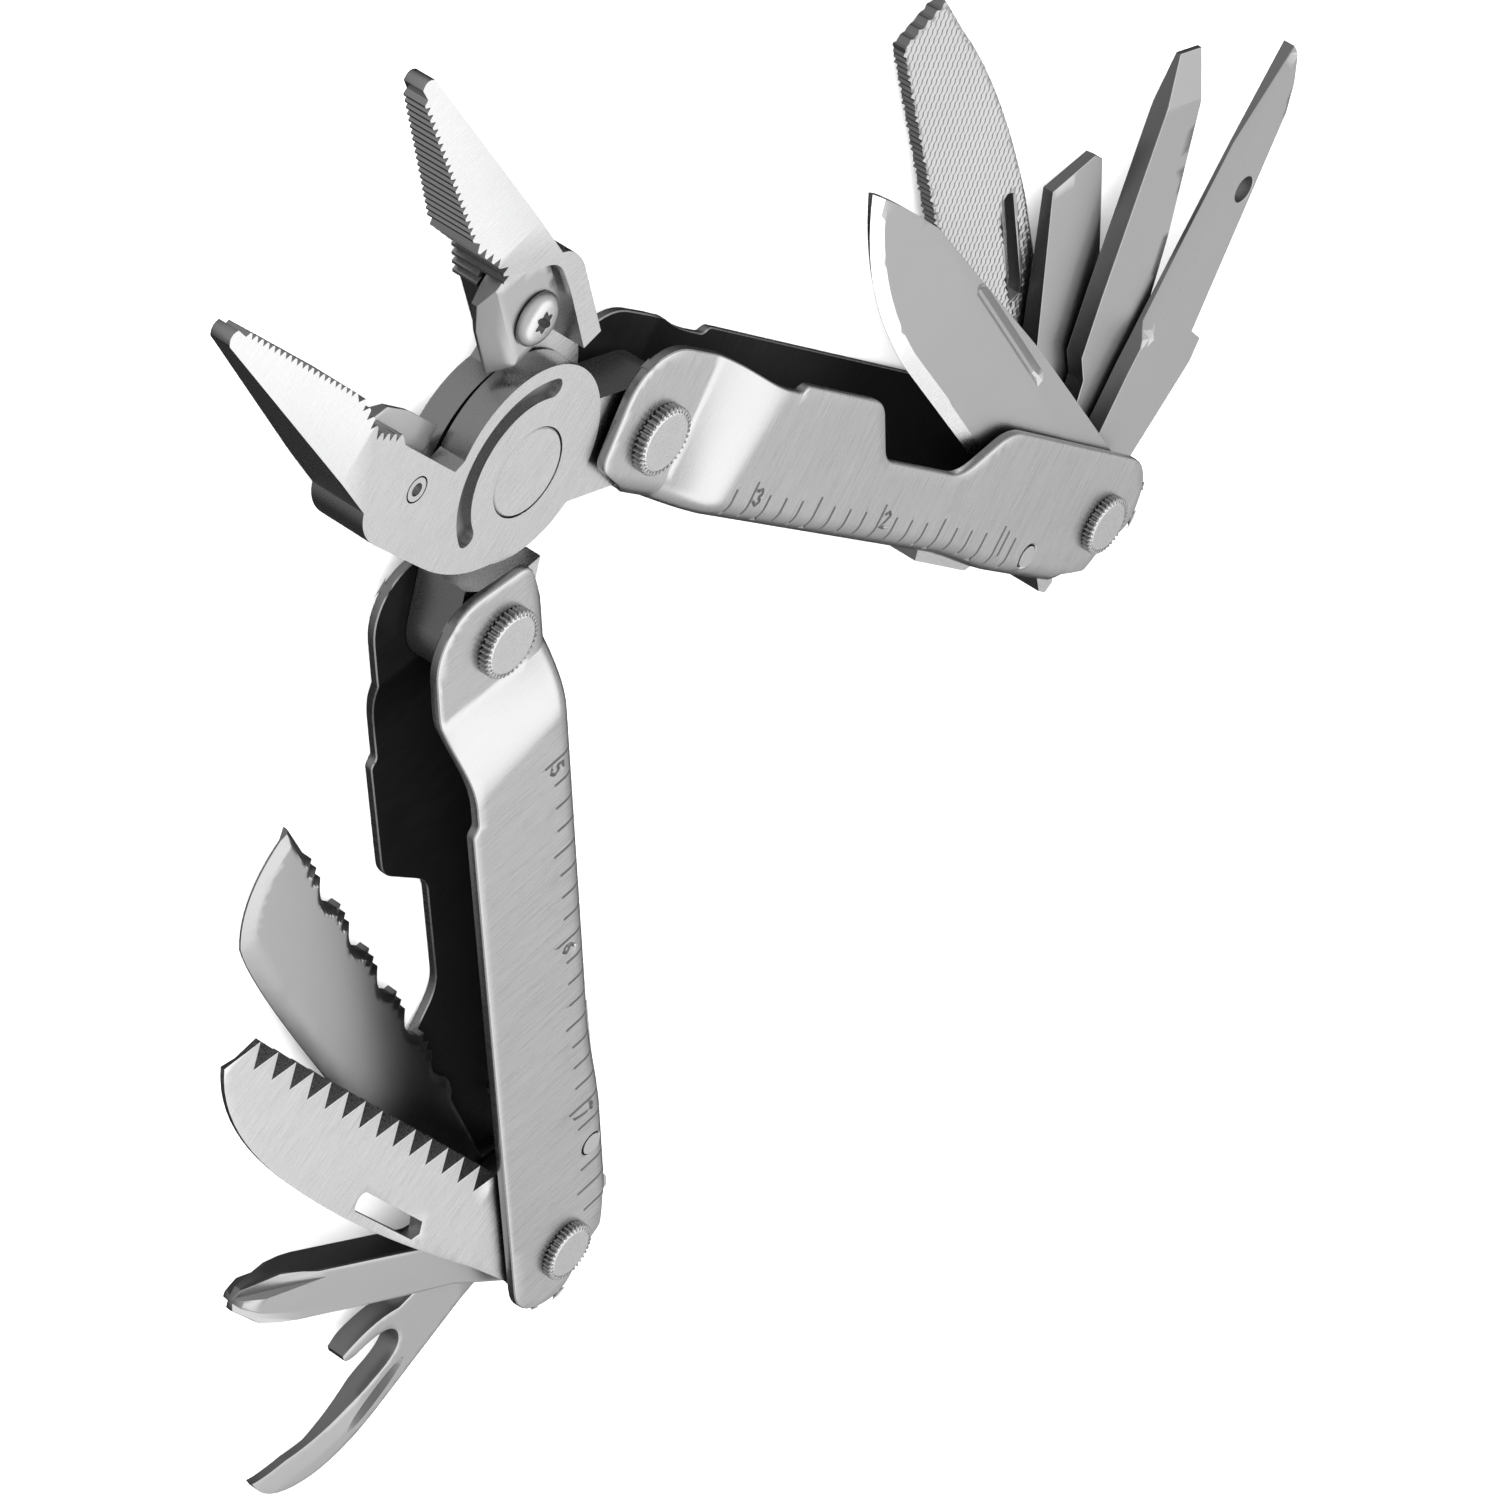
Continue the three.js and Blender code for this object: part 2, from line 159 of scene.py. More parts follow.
def inside(points, loops):
    x, y = points.T
    odd = np.zeros(len(points), bool)
    for loop in loops:
        for (x0, y0), (x1, y1) in zip(loop, np.roll(loop, -1, axis=0)):
            if y0 != y1:
                odd ^= ((y0 > y) != (y1 > y)) & (x < x0 + (y - y0) * (x1 - x0) / (y1 - y0))
    return odd


def gap_to(points, line):
    """How far each point is from an open line."""
    nearest = np.full(len(points), np.inf)
    for a, b in zip(line[:-1], line[1:]):
        run = b - a
        t = np.clip((points - a) @ run / max(run @ run, 1e-12), 0, 1)
        nearest = np.minimum(nearest, np.linalg.norm(points - a - t[:, None] * run, axis=1))
    return nearest


def lattice(x0, x1, y0, y1, step_x, step_y):
    xs = np.arange(x0, x1 + step_x / 2, step_x)
    ys = np.arange(y0, y1 + step_y / 2, step_y)
    return np.array([(x, y) for x in xs for y in ys])


# ---- solid making
def triangulate(loops, lines, seeds, margin):
    """Triangles over the area inside the loops, and the place of each loop point in them."""
    points, edges = [], []
    for loop in loops:
        first = len(points)
        points.extend(loop)
        edges.extend((first + i, first + (i + 1) % len(loop)) for i in range(len(loop)))
    rim_count = len(points)
    for line in lines:
        first = len(points)
        points.extend(line)
        edges.extend((first + i, first + i + 1) for i in range(len(line) - 1))
    if seeds is not None and len(seeds):
        free = inside(seeds, loops)
        for loop in loops:
            free &= gap_to(seeds, np.vstack([loop, loop[:1]])) > margin
        for line in lines:
            free &= gap_to(seeds, np.array(line)) > margin * 0.6
        points.extend(seeds[free])
    result = delaunay_2d_cdt([Vector(p) for p in points], edges, [], 0, 1e-7)
    flat = np.array([(p.x, p.y) for p in result[0]])
    home = {}
    for new, olds in enumerate(result[3]):
        for old in olds:
            if old < rim_count:
                home[old] = new
    faces = np.array([face for face in result[2] if len(face) == 3])
    middles = flat[faces].mean(axis=1)
    faces = faces[inside(middles, loops)]
    a, b, c = (flat[faces[:, k]] for k in range(3))
    turn = (b[:, 0] - a[:, 0]) * (c[:, 1] - a[:, 1]) - (b[:, 1] - a[:, 1]) * (c[:, 0] - a[:, 0])
    faces[turn < 0] = faces[turn < 0][:, ::-1]
    return flat, faces, home


def shell(name, loops, rim, place, back_loops=None, lines=(), seeds=None, margin=0.3, hole_rim=None):
    """A closed solid with a front face, a back face and a rim round every loop.

    rim lists (inset, depth) from the front face to the back one, and hole_rim, with the same
    first and last depth, does so for the holes. place(flat, depth) gives the place of flat
    points at a depth. The back face is material 1, everything else is material 0.
    """
    back_loops = loops if back_loops is None else back_loops
    rims = [rim] + [hole_rim or rim] * (len(loops) - 1)
    front_depth, back_depth = rim[0][1], rim[-1][1]
    verts, faces = [], []
    front_edges = [inset(loop, own[0][0]) for loop, own in zip(loops, rims)]
    back_edges = [inset(loop, own[-1][0]) for loop, own in zip(back_loops, rims)]
    first_face = triangulate(front_edges, lines, seeds, margin)
    last_face = triangulate(back_edges, lines, seeds, margin)
    verts.extend(place(first_face[0], np.full(len(first_face[0]), front_depth)))
    faces.extend(tuple(face) for face in first_face[1])
    last_start = len(verts)
    verts.extend(place(last_face[0], np.full(len(last_face[0]), back_depth)))
    backs = [tuple(last_start + i for i in face[::-1]) for face in last_face[1]]
    offset = 0
    for loop, back_loop, own in zip(loops, back_loops, rims):
        count = len(loop)
        rings = [[first_face[2][offset + i] for i in range(count)]]
        for amount, depth in own[1:-1]:
            share = (depth - front_depth) / (back_depth - front_depth)
            ring = inset(loop * (1 - share) + back_loop * share, amount)
            rings.append(list(range(len(verts), len(verts) + count)))
            verts.extend(place(ring, np.full(count, depth)))
        rings.append([last_start + last_face[2][offset + i] for i in range(count)])
        for upper, lower in zip(rings[:-1], rings[1:]):
            for i in range(count):
                j = (i + 1) % count
                faces.append((upper[j], upper[i], lower[i], lower[j]))
        offset += count
    return make_mesh(name, verts, faces + backs, len(faces))


def make_mesh(name, verts, faces, back_start=None, sharp=24):
    used = sorted({i for face in faces for i in face})
    renumber = {old: new for new, old in enumerate(used)}
    mesh = bpy.data.meshes.new(name)
    mesh.from_pydata(
        [tuple(float(c) * MM for c in verts[i]) for i in used], [],
        [[renumber[i] for i in face] for face in faces])
    mesh.validate()
    if back_start is not None:
        for polygon in mesh.polygons[back_start:]:
            polygon.material_index = 1
    mesh.shade_smooth()
    mesh.set_sharp_from_angle(angle=math.radians(sharp))
    piece = bpy.data.objects.new(name, mesh)
    bpy.context.scene.collection.objects.link(piece)
    return piece


def flat_place(low, high):
    """Place for a plate: depth runs from 0 on its front face to 1 on its back."""
    def place(flat, depth):
        return np.column_stack([flat, high + (low - high) * depth])
    return place


def edge_rim(chamfer, thickness):
    share = chamfer / thickness
    return [(chamfer, 0), (chamfer * 0.3, share * 0.3), (0, share), (0, 1 - share),
            (chamfer * 0.3, 1 - share * 0.3), (chamfer, 1)]


def prism(name, loop, low, high, chamfer=0.12):
    return shell(name, [subdivide(loop, 3.0)], edge_rim(chamfer, high - low), flat_place(low, high))


def lathe(name, profile, steps=48):
    """A round solid about Z from (radius, height) points, first and last on the axis."""
    verts = [(0, 0, profile[0][1])]
    for radius, height in profile[1:-1]:
        verts.extend((x, y, height) for x, y in arc(0, 0, radius, 0, 360, steps)[:-1])
    verts.append((0, 0, profile[-1][1]))
    rings = len(profile) - 2
    faces = [(0, 1 + (i + 1) % steps, 1 + i) for i in range(steps)]
    for ring in range(rings - 1):
        base = 1 + ring * steps
        for i in range(steps):
            j = (i + 1) % steps
            faces.append((base + i, base + j, base + steps + j, base + steps + i))
    base, last = 1 + (rings - 1) * steps, len(verts) - 1
    faces.extend((base + i, base + (i + 1) % steps, last) for i in range(steps))
    return make_mesh(name, verts, faces)


def combine(piece, operation, *others):
    """Joins or cuts the piece with others, which are used up."""
    for other in others:
        step = piece.modifiers.new(operation.lower(), "BOOLEAN")
        step.operation = operation
        step.solver = "MANIFOLD"
        step.object = other
        graph = bpy.context.evaluated_depsgraph_get()
        mesh = bpy.data.meshes.new_from_object(piece.evaluated_get(graph))
        piece.modifiers.clear()
        old = piece.data
        piece.data = mesh
        bpy.data.meshes.remove(old)
        bpy.data.objects.remove(other)


def soften(piece, width, segments=2):
    """Breaks the sharp edges of a solid made by cutting and joining."""
    flatten = piece.modifiers.new("flatten", "DECIMATE")
    flatten.decimate_type = "DISSOLVE"
    flatten.angle_limit = math.radians(0.8)
    edges = piece.modifiers.new("edges", "BEVEL")
    edges.width = width * MM
    edges.segments = segments
    edges.limit_method = "ANGLE"
    edges.angle_limit = math.radians(35)


def settle(piece):
    """Applies the modifiers and sets which edges shade as sharp."""
    graph = bpy.context.evaluated_depsgraph_get()
    mesh = bpy.data.meshes.new_from_object(piece.evaluated_get(graph))
    piece.modifiers.clear()
    piece.data = mesh
    mesh.shade_smooth()
    mesh.set_sharp_from_angle(angle=math.radians(50))


# ---- materials
def add_node(nodes, kind, values):
    """A shader node with values in some of its inputs."""
    node = nodes.new("ShaderNode" + kind)
    for key, value in values.items():
        node.inputs[key].default_value = value
    return node


def spread_over(nodes, low, high, new_low, new_high):
    """A node that maps values from low to high onto new_low to new_high."""
    return add_node(nodes, "MapRange", {"From Min": low, "From Max": high,
                                        "To Min": new_low, "To Max": new_high})


def steel(name, tone, roughness, grain_scale, colour_range=0.1, gloss_range=0.08, bump_depth=0.015,
          metal=1.0):
    """Steel with a grain stretched by its scale along each axis of the piece, and soft wear."""
    material = bpy.data.materials.new(name)
    material.use_nodes = True
    nodes, links = material.node_tree.nodes, material.node_tree.links
    shader = nodes["Principled BSDF"]
    shader.inputs["Metallic"].default_value = metal
    coords = nodes.new("ShaderNodeAttribute")
    coords.attribute_name = DRAWN
    mapping = add_node(nodes, "Mapping", {"Scale": grain_scale})
    grain = add_node(nodes, "TexNoise", {"Scale": 1.0, "Detail": 5.0, "Roughness": 0.7})
    wear = add_node(nodes, "TexNoise", {"Scale": 110.0, "Detail": 4.0})
    mixed = add_node(nodes, "Math", {1: 0.3})
    mixed.operation = "MULTIPLY_ADD"
    shade = spread_over(nodes, 0.35, 0.95, 1 - colour_range, 1 + colour_range)
    tint = add_node(nodes, "VectorMath", {0: (tone, tone, tone * 1.01)})
    tint.operation = "SCALE"
    gloss = spread_over(nodes, 0.3, 0.7, roughness - gloss_range, roughness + gloss_range)
    bump = add_node(nodes, "Bump", {"Strength": 0.4, "Distance": bump_depth * MM})
    wires = (
        (coords.outputs["Vector"], mapping.inputs["Vector"]),
        (mapping.outputs[0], grain.inputs["Vector"]),
        (coords.outputs["Vector"], wear.inputs["Vector"]),
        (wear.outputs["Fac"], mixed.inputs[0]),
        (grain.outputs["Fac"], mixed.inputs[2]),
        (mixed.outputs[0], shade.inputs["Value"]),
        (shade.outputs[0], tint.inputs["Scale"]),
        (tint.outputs[0], shader.inputs["Base Color"]),
        (grain.outputs["Fac"], gloss.inputs["Value"]),
        (gloss.outputs[0], shader.inputs["Roughness"]),
        (grain.outputs["Fac"], bump.inputs["Height"]),
        (bump.outputs[0], shader.inputs["Normal"]),
    )
    for source, target in wires:
        links.new(source, target)
    return material


FINE = 9000       # grain lines per metre, across the brushing
LONG = 220        # and along it
FINISHES = {
    "handle": steel("brushed_handle", 0.46, 0.3, (FINE * 0.7, LONG, LONG), 0.08, 0.06, 0.012),
    # inside: the channels' inner faces, near black and not metallic: painted shade where the channel walls keep
    # the light out
    "inside": steel("dark_inside", 0.004, 0.5, (2000, 300, 2000), 0.3, 0.1, 0.005, 0.0),
    "jaw": steel("brushed_jaw", 0.54, 0.28, (LONG, FINE, FINE), 0.05),
    "saw": steel("bright_blade", 0.62, 0.3, (FINE, LONG, FINE), 0.06),
    "file": steel("cut_file", 0.4, 0.38, (FINE, FINE, FINE), 0.08),
    "satin": steel("satin_blade", 0.4, 0.36, (FINE, FINE, FINE), 0.05, 0.05, 0.008),
    # edge: far lighter steel on knife edges, a painted highlight along the ground bevel
    "edge": steel("ground_edge", 0.9, 0.25, (FINE, LONG, FINE), 0.05, 0.05, 0.008),
    # darker steel for painted shade in recesses: the ruler's engraved grooves and the floor of the jaws' arc slot
    "recess_shade": steel("dark_engraving", 0.18, 0.45, (3000, 3000, 3000), 0.2),
    "fastener": steel("turned_fastener", 0.5, 0.32, (5000, 5000, 5000), 0.06),
    "dark": steel("dark_spring", 0.08, 0.4, (3000, 3000, 3000), 0.2),
}
INSIDE_SHADE_SHADER = FINISHES["inside"].node_tree.nodes["Principled BSDF"]
INSIDE_SHADE_SHADER.inputs["Specular IOR Level"].default_value = 0.12


def weigh_normals(piece):
    """Keeps broad faces flat to look at beside their rounded edges."""
    normals = piece.modifiers.new("normals", "WEIGHTED_NORMAL")
    normals.keep_sharp = True
    normals.weight = 80


def keep_drawn_place(piece):
    """Stores where each vertex was drawn, for the grain, and puts the mesh in the row frame."""
    count = len(piece.data.vertices)
    drawn = np.zeros(count * 3, np.float32)
    piece.data.vertices.foreach_get("co", drawn)
    attribute = piece.data.attributes.new(DRAWN, "FLOAT_VECTOR", "POINT")
    attribute.data.foreach_set("vector", drawn)
    if piece.name not in frame["nodes"]:
        piece.data.transform(piece.matrix_world)
        piece.matrix_world = Matrix.Identity(4)


def finish(piece, node, *finishes):
    """Gives a piece its materials and its drawn place; a piece that stands for a node hides that node and joins
    that node's body.
    """
    chosen = [min(polygon.material_index, len(finishes) - 1) for polygon in piece.data.polygons]
    piece.data.materials.clear()
    for key in finishes:
        piece.data.materials.append(FINISHES[key])
    piece.data.polygons.foreach_set("material_index", chosen)
    keep_drawn_place(piece)
    if piece.name != node:
        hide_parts(node)
        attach(piece, BODY_OF[node])


# ---- channels
SHEET = 1.0               # thickness of the channel
LEVER_PIN = (75.2, 4.5)
LEVER_PIN_HOLE = 1.38
NECK = 4.3                # half thickness at the handle pivot
WIDE = 6.7                # half thickness of the main channel
SLOPE_START = 4.9         # along the handle, where y is 0; the slope's ends lean with y
SLOPE_END = 13.4
CORNER = 2.4              # radius between wall and web
WALL_END = 3.0            # up to here a domain point is as far across as the real one
CORNER_START = 4.0
ARC = CORNER * math.pi / 2
WEB_FLAT = WIDE - CORNER
MIDDLE = CORNER_START + ARC + WEB_FLAT


def web_line(u):
    """How far across the handle the web's outer face is: it steps out over the lock lever."""
    return np.interp(u, [58, 61, 68, 71], [6.4, 6.55, 7.15, 7.3])


def across_to_domain(u, y):
    """Where a point of the wall lies on the sheet when it is laid flat."""
    start = web_line(u) - CORNER
    if y <= WALL_END:
        return y
    if y <= start:
        return WALL_END + (y - WALL_END) / (start - WALL_END)
    return CORNER_START + CORNER * math.asin(min(1, (y - start) / CORNER))


def wall_height(u, y):
    """Half thickness: a slope, steep at first, lifts the wall from the neck to the full width."""
    start, end = SLOPE_START + 0.07 * y, SLOPE_END - 0.22 * y
    t = np.clip((u - start) / (end - start), 0, 1)
    return NECK + (WIDE - NECK) * (1 - (1 - t) ** 1.8)


def channel_place(ticks_side, marks):
    def place(flat, depth):
        u, p = flat[:, 0], flat[:, 1]
        rear = p > MIDDLE
        near = np.where(rear, 2 * MIDDLE - p, p)
        start = web_line(u) - CORNER
        depth = depth + marks(u, near) * (depth < 0.01) * (rear == (ticks_side < 0))
        wall_y = np.where(near <= WALL_END, near, WALL_END + (near - WALL_END) * (start - WALL_END))
        angle = np.clip((near - CORNER_START) / CORNER, 0, math.pi / 2)
        y = np.where(near <= CORNER_START, wall_y, start + (CORNER - depth) * np.sin(angle))
        height = wall_height(u, np.minimum(wall_y, start))
        z = np.where(near <= CORNER_START, height - depth,
                     height - CORNER + (CORNER - depth) * np.cos(angle))
        share = np.clip((near - CORNER_START - ARC) / WEB_FLAT, 0, 1)
        z = np.where(share > 0, (height - CORNER) * (1 - share), z)
        return np.column_stack([u, y, np.where(rear, -z, z)])
    return place


def half_channel(notched):
    """One wall's outline on the flat sheet, from the tang end of the web to the tool end."""
    points = [(2.0, 6.6, 0.8), (-1.4, 5.5, 1.0), (-6.4, 4.2, 1.6), (-7.6, -4.6, 2.5), (-4.6, -8.6, 3.4)]
    if notched:
        points += [(5.5, -8.7, 3), (13.5, -7.4, 2), (17.0, -7.4, 0.5), (17.4, -8.2, 0.5), (32.7, -8.1, 1.6),
                   (38.3, -2.5, 1.6), (54.2, -2.4, 2.2), (60.0, -7.9, 2.4)]
    else:
        points += [(5.0, -8.8, 3), (13.0, -7.3, 2.5), (17.6, -7.3, 0.5), (18.2, -8.1, 0.5)]
    points += [(90.6, -7.6, 3.4), (93.2, -3.2, 2.4), (93.2, -0.6, 1.5)]
    flat = [(p[0], across_to_domain(p[0], p[1])) + tuple(p[2:]) for p in points]
    cut = 84.5                # tool end of the lock lever's opening in the web
    cut_y = across_to_domain(cut, 6.0)
    window_y = CORNER_START + CORNER * math.acos((4.5 - WEB_FLAT) / CORNER)
    end = [(88.6, across_to_domain(88.6, 5.1), 0.6), (cut, cut_y, 0.4), (cut, window_y, 0.4),
           (56.8, window_y, 1.0)]
    return flat + end


RULER_PITCH = 3.175       # an eighth of an inch
TICK_HALF = 0.16
TICK_DEPTH = 0.15
TICK_GAP = 1.9            # no tick is nearer to the lever pin than this
DIGIT_STROKES = {
    "1": [(0.5, 0), (0.5, 1.8)],
    "2": [(0, 1.5), (0.5, 1.8), (1, 1.4), (0, 0), (1, 0)],
    "3": [(0, 1.6), (0.6, 1.8), (0.9, 1.3), (0.4, 0.95), (1, 0.5), (0.5, 0), (0, 0.25)],
    "5": [(1, 1.8), (0.1, 1.8), (0, 1.0), (0.7, 1.1), (1, 0.5), (0.5, 0), (0, 0.2)],
    "6": [(0.9, 1.8), (0.2, 1.1), (0, 0.5), (0.5, 0), (1, 0.5), (0.5, 1.0), (0.1, 0.7)],
    "7": [(0, 1.8), (1, 1.8), (0.4, 0)],
}


def ruler(side):
    """Engraved strokes on the flat sheet: eighth-inch ticks with a digit at each inch."""
    strokes = []
    if side == "left":
        first, count, inch_at, digits = 17.41, 22, 0, "567"
    else:
        first, count, inch_at, digits = 13.82, 20, 1, "321"
    for k in range(count):
        u = first + RULER_PITCH * k
        beat = (k - inch_at) % 8
        inner = 1.72 if beat == 0 else 2.1 if beat == 4 else 2.8
        if abs(u - LEVER_PIN[0]) > TICK_GAP:
            strokes.append([(u, inner), (u, 5.4)])
        if beat == 0 and k // 8 < len(digits):
            up = 0.9 if side == "left" else -0.9
            stroke = DIGIT_STROKES[digits[k // 8]]
            strokes.append([(u + 0.7 + x, 3.2 + (y - 0.9) * up) for x, y in stroke])
    return [np.array(stroke) for stroke in strokes]


def make_channel(side):
    strokes = ruler(side)
    facing = 1 if side == "left" else -1

    def marks(u, p):
        depth = np.zeros(len(u))
        points = np.column_stack([u, p])
        for stroke in strokes:
            low, high = stroke.min(axis=0) - 0.3, stroke.max(axis=0) + 0.3
            near = ((points > low) & (points < high)).all(axis=1)
            if near.any():
                groove = np.clip(1.25 - gap_to(points[near], stroke) / TICK_HALF, 0, 1)
                depth[near] = np.maximum(depth[near], groove * TICK_DEPTH)
        return depth

    front, rear = half_channel(False), half_channel(True)
    mirrored = [(p[0], 2 * MIDDLE - p[1]) + tuple(p[2:]) for p in reversed(rear)]
    outer = subdivide(rounded(front + mirrored, 7), 1.0)
    holes = []
    for x, y, radius in ((0, 0, 2.6), (TOOL_SPAN, TOOL_OFFSET, 2.4), (*LEVER_PIN, LEVER_PIN_HOLE)):
        for flip in (False, True):
            points = [(px, across_to_domain(px, py)) for px, py in circle(x, y, radius, 28)]
            if flip:
                points = [(px, 2 * MIDDLE - py) for px, py in points][::-1]
            holes.append(np.array(points))
    lines = []
    for stroke in strokes:
        flat = stroke if facing > 0 else np.column_stack([stroke[:, 0], 2 * MIDDLE - stroke[:, 1]])
        for a, b in zip(flat[:-1], flat[1:]):
            steps = max(1, round(np.linalg.norm(b - a) / 0.35))
            run = unit((b - a)[None])[0]
            aside = np.array([-run[1], run[0]])
            for shift in (-1.25, -0.25, 0.25, 1.25):
                lines.append(np.linspace(a, b, steps + 1) + aside * shift * TICK_HALF)
    corners = np.linspace(CORNER_START, CORNER_START + ARC, 11)
    rows = np.concatenate([np.arange(-8, CORNER_START, 1.0), corners, np.arange(8.6, MIDDLE, 1.2)])
    rows = np.concatenate([rows, 2 * MIDDLE - rows])
    columns = np.concatenate([np.arange(-7, 16, 0.45), np.arange(16, 94, 1.2)])
    seeds = np.array([(u, p) for u in columns for p in rows])
    rim = [(0.34, 0), (0.15, 0.05), (0.04, 0.16), (0, 0.32), (0, 0.6), (0, 0.88), (0.1, SHEET)]
    hole_rim = [(0.1, 0), (0, 0.1), (0, 0.9), (0.1, SHEET)]
    piece = shell(f"{side}_channel_shell", [outer] + holes, rim, channel_place(facing, marks),
                  lines=lines, seeds=seeds, margin=0.32, hole_rim=hole_rim)
    # faces in the ruler's grooves get the darker steel: painted shade in the engraving
    for polygon in piece.data.polygons:
        u, y, z = polygon.center / MM
        on_ruler = z * facing > 3.5 and 0 < y < web_line(u) - 0.6 and 12 < u < 90
        if polygon.material_index == 0 and on_ruler:
            if marks(np.array([u]), np.array([across_to_domain(u, y)]))[0] > TICK_DEPTH * 0.3:
                polygon.material_index = 2
    piece.matrix_world = handle_frame(side)
    # the channel's inner (back) faces, material 1, are painted near black as shade
    finish(piece, f"{side}_channel", "handle", "inside", "recess_shade")


# ---- heads
KNURL_DEPTH = 0.38
KNURL_RIDGES = 36
HEADS = {                 # place on the handle, radius, wall under it, rise above the wall, shank
    "handle": (0, 0, 3.5, NECK, 1.15, 2.2),
    "tool": (TOOL_SPAN, TOOL_OFFSET, 3.2, WIDE, 1.0, 2.0),
}


def make_head(name, node, place, radius, base, top):
    """A headed fastener: flat face, fine knurl round its side."""
    outer = []
    for i in range(KNURL_RIDGES * 4):
        turn = 2 * math.pi * i / (KNURL_RIDGES * 4)
        reach = radius - KNURL_DEPTH * (i % 4 in (0, 1))
        outer.append((reach * math.cos(turn), reach * math.sin(turn)))
    rim = [(0.3, 0), (0.12, 0.05), (0.0, 0.22), (0, 0.95), (0.1, 1)]
    piece = shell(name, [np.array(outer)], rim, flat_place(base, top))
    piece.matrix_world = place
    finish(piece, node, "fastener")


def make_stem(side, key, place, radius, half):
    stem = prism(f"{side}_{key}_bolt_stem", circle(0, 0, radius, 32)[::-1], -half, half + 0.4)
    stem.matrix_world = place
    stem.data.materials.append(FINISHES["fastener"])
    keep_drawn_place(stem)
    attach(stem, f"{side}_handle")


def make_fasteners(side):
    for key, (x, y, radius, wall, rise, shank) in HEADS.items():
        place = handle_frame(side) @ Matrix.Translation(Vector((x, y, 0)) * MM)
        base, top = wall + 0.05, wall + rise
        make_head(f"{side}_{key}_bolt_knurled", f"{side}_{key}_bolt", place, radius, base, top)
        make_stem(side, key, place, shank, wall)
        make_head(f"{side}_{key}_nut_knurled", f"{side}_{key}_nut", place @ FACE_DOWN, radius, base, top)


# ---- jaws
JAW_HALF = 3.0
SLOT_DEPTH = 0.9          # of the curved recess round the pivot
CUTTER_TOP = 1.95
LAP = 12.0
TANG = Vector((-8.152, -14.952))     # from the pliers pivot to the handle pivot
EYE_RADIUS = 5.2
EYE_HALF = 2.7
SCREW_PLACE = (5.6, 15.4)


def tooth_run(start, end, count, height, side=1):
    """Teeth with a narrow flat crest along a line, from start to end."""
    start, end = np.array(start, float), np.array(end, float)
    run = (end - start) / count
    aside = np.array([-run[1], run[0]]) / np.linalg.norm(run) * side
    points = []
    for k in range(count):
        points.append(start + run * k)
        points.append(start + run * (k + 0.3) + aside * height)
        points.append(start + run * (k + 0.6) + aside * height)
    return np.array(points)


def jaw_loop():
    outer = [np.array([(0.35, 50.5)]),
             tooth_run((0.55, 49.2), (1.0, 31.2), 20, 0.5, -1),
             tooth_run((1.1, 30.8), (3.2, 26.2), 4, 0.75, -1),
             tooth_run((3.3, 25.6), (2.5, 21.6), 4, 0.7, -1),
             np.array([(2.6, 20.9), (2.8, 11.2), (0, 10), (0, -3.2), (8.2, -3.2)]),
             bend((8.2, -3.2), (11.6, 1.0), (11.6, 7.6)),
             np.array([(11.5, 17.2)]),
             bend((11.5, 17.2), (11.3, 20.0), (9.4, 21.2)),
             np.array([(1.9, 50.4)]),
             bend((1.9, 50.4), (1.1, 51.3), (0.35, 50.5))[:-1]]
    return np.vstack(outer)


def cylinder(name, x, y, radius, low, high, steps=48):
    piece = prism(name, circle(0, 0, radius, steps)[::-1], low, high, chamfer=0.001)
    piece.data.transform(Matrix.Translation(Vector((x, y, 0)) * MM))
    return piece


def block(name, points, low, high):
    return shell(name, [np.array(points, float)], [(0, 0), (0, 1)], flat_place(low, high))


def side_block(name, points, low, high):
    """A prism along X whose outline is in (y, z)."""
    piece = block(name, points, low, high)
    turn = Matrix(((0, 0, 1, 0), (1, 0, 0, 0), (0, 1, 0, 0), (0, 0, 0, 1)))
    piece.data.transform(turn)
    return piece


def arc_slot(name, radius, half_width, start, end, low, high):
    outer = arc(0, 0, radius + half_width, start, end, 30)
    inner = arc(0, 0, radius - half_width, end, start, 30)
    end_turn, start_turn = math.radians(end), math.radians(start)
    far = arc(radius * math.cos(end_turn), radius * math.sin(end_turn), half_width, end, end + 180, 8)[1:-1]
    near = arc(radius * math.cos(start_turn), radius * math.sin(start_turn), half_width,
               start + 180, start + 360, 8)[1:-1]
    return block(name, np.vstack([outer, far, inner, near]), low, high)


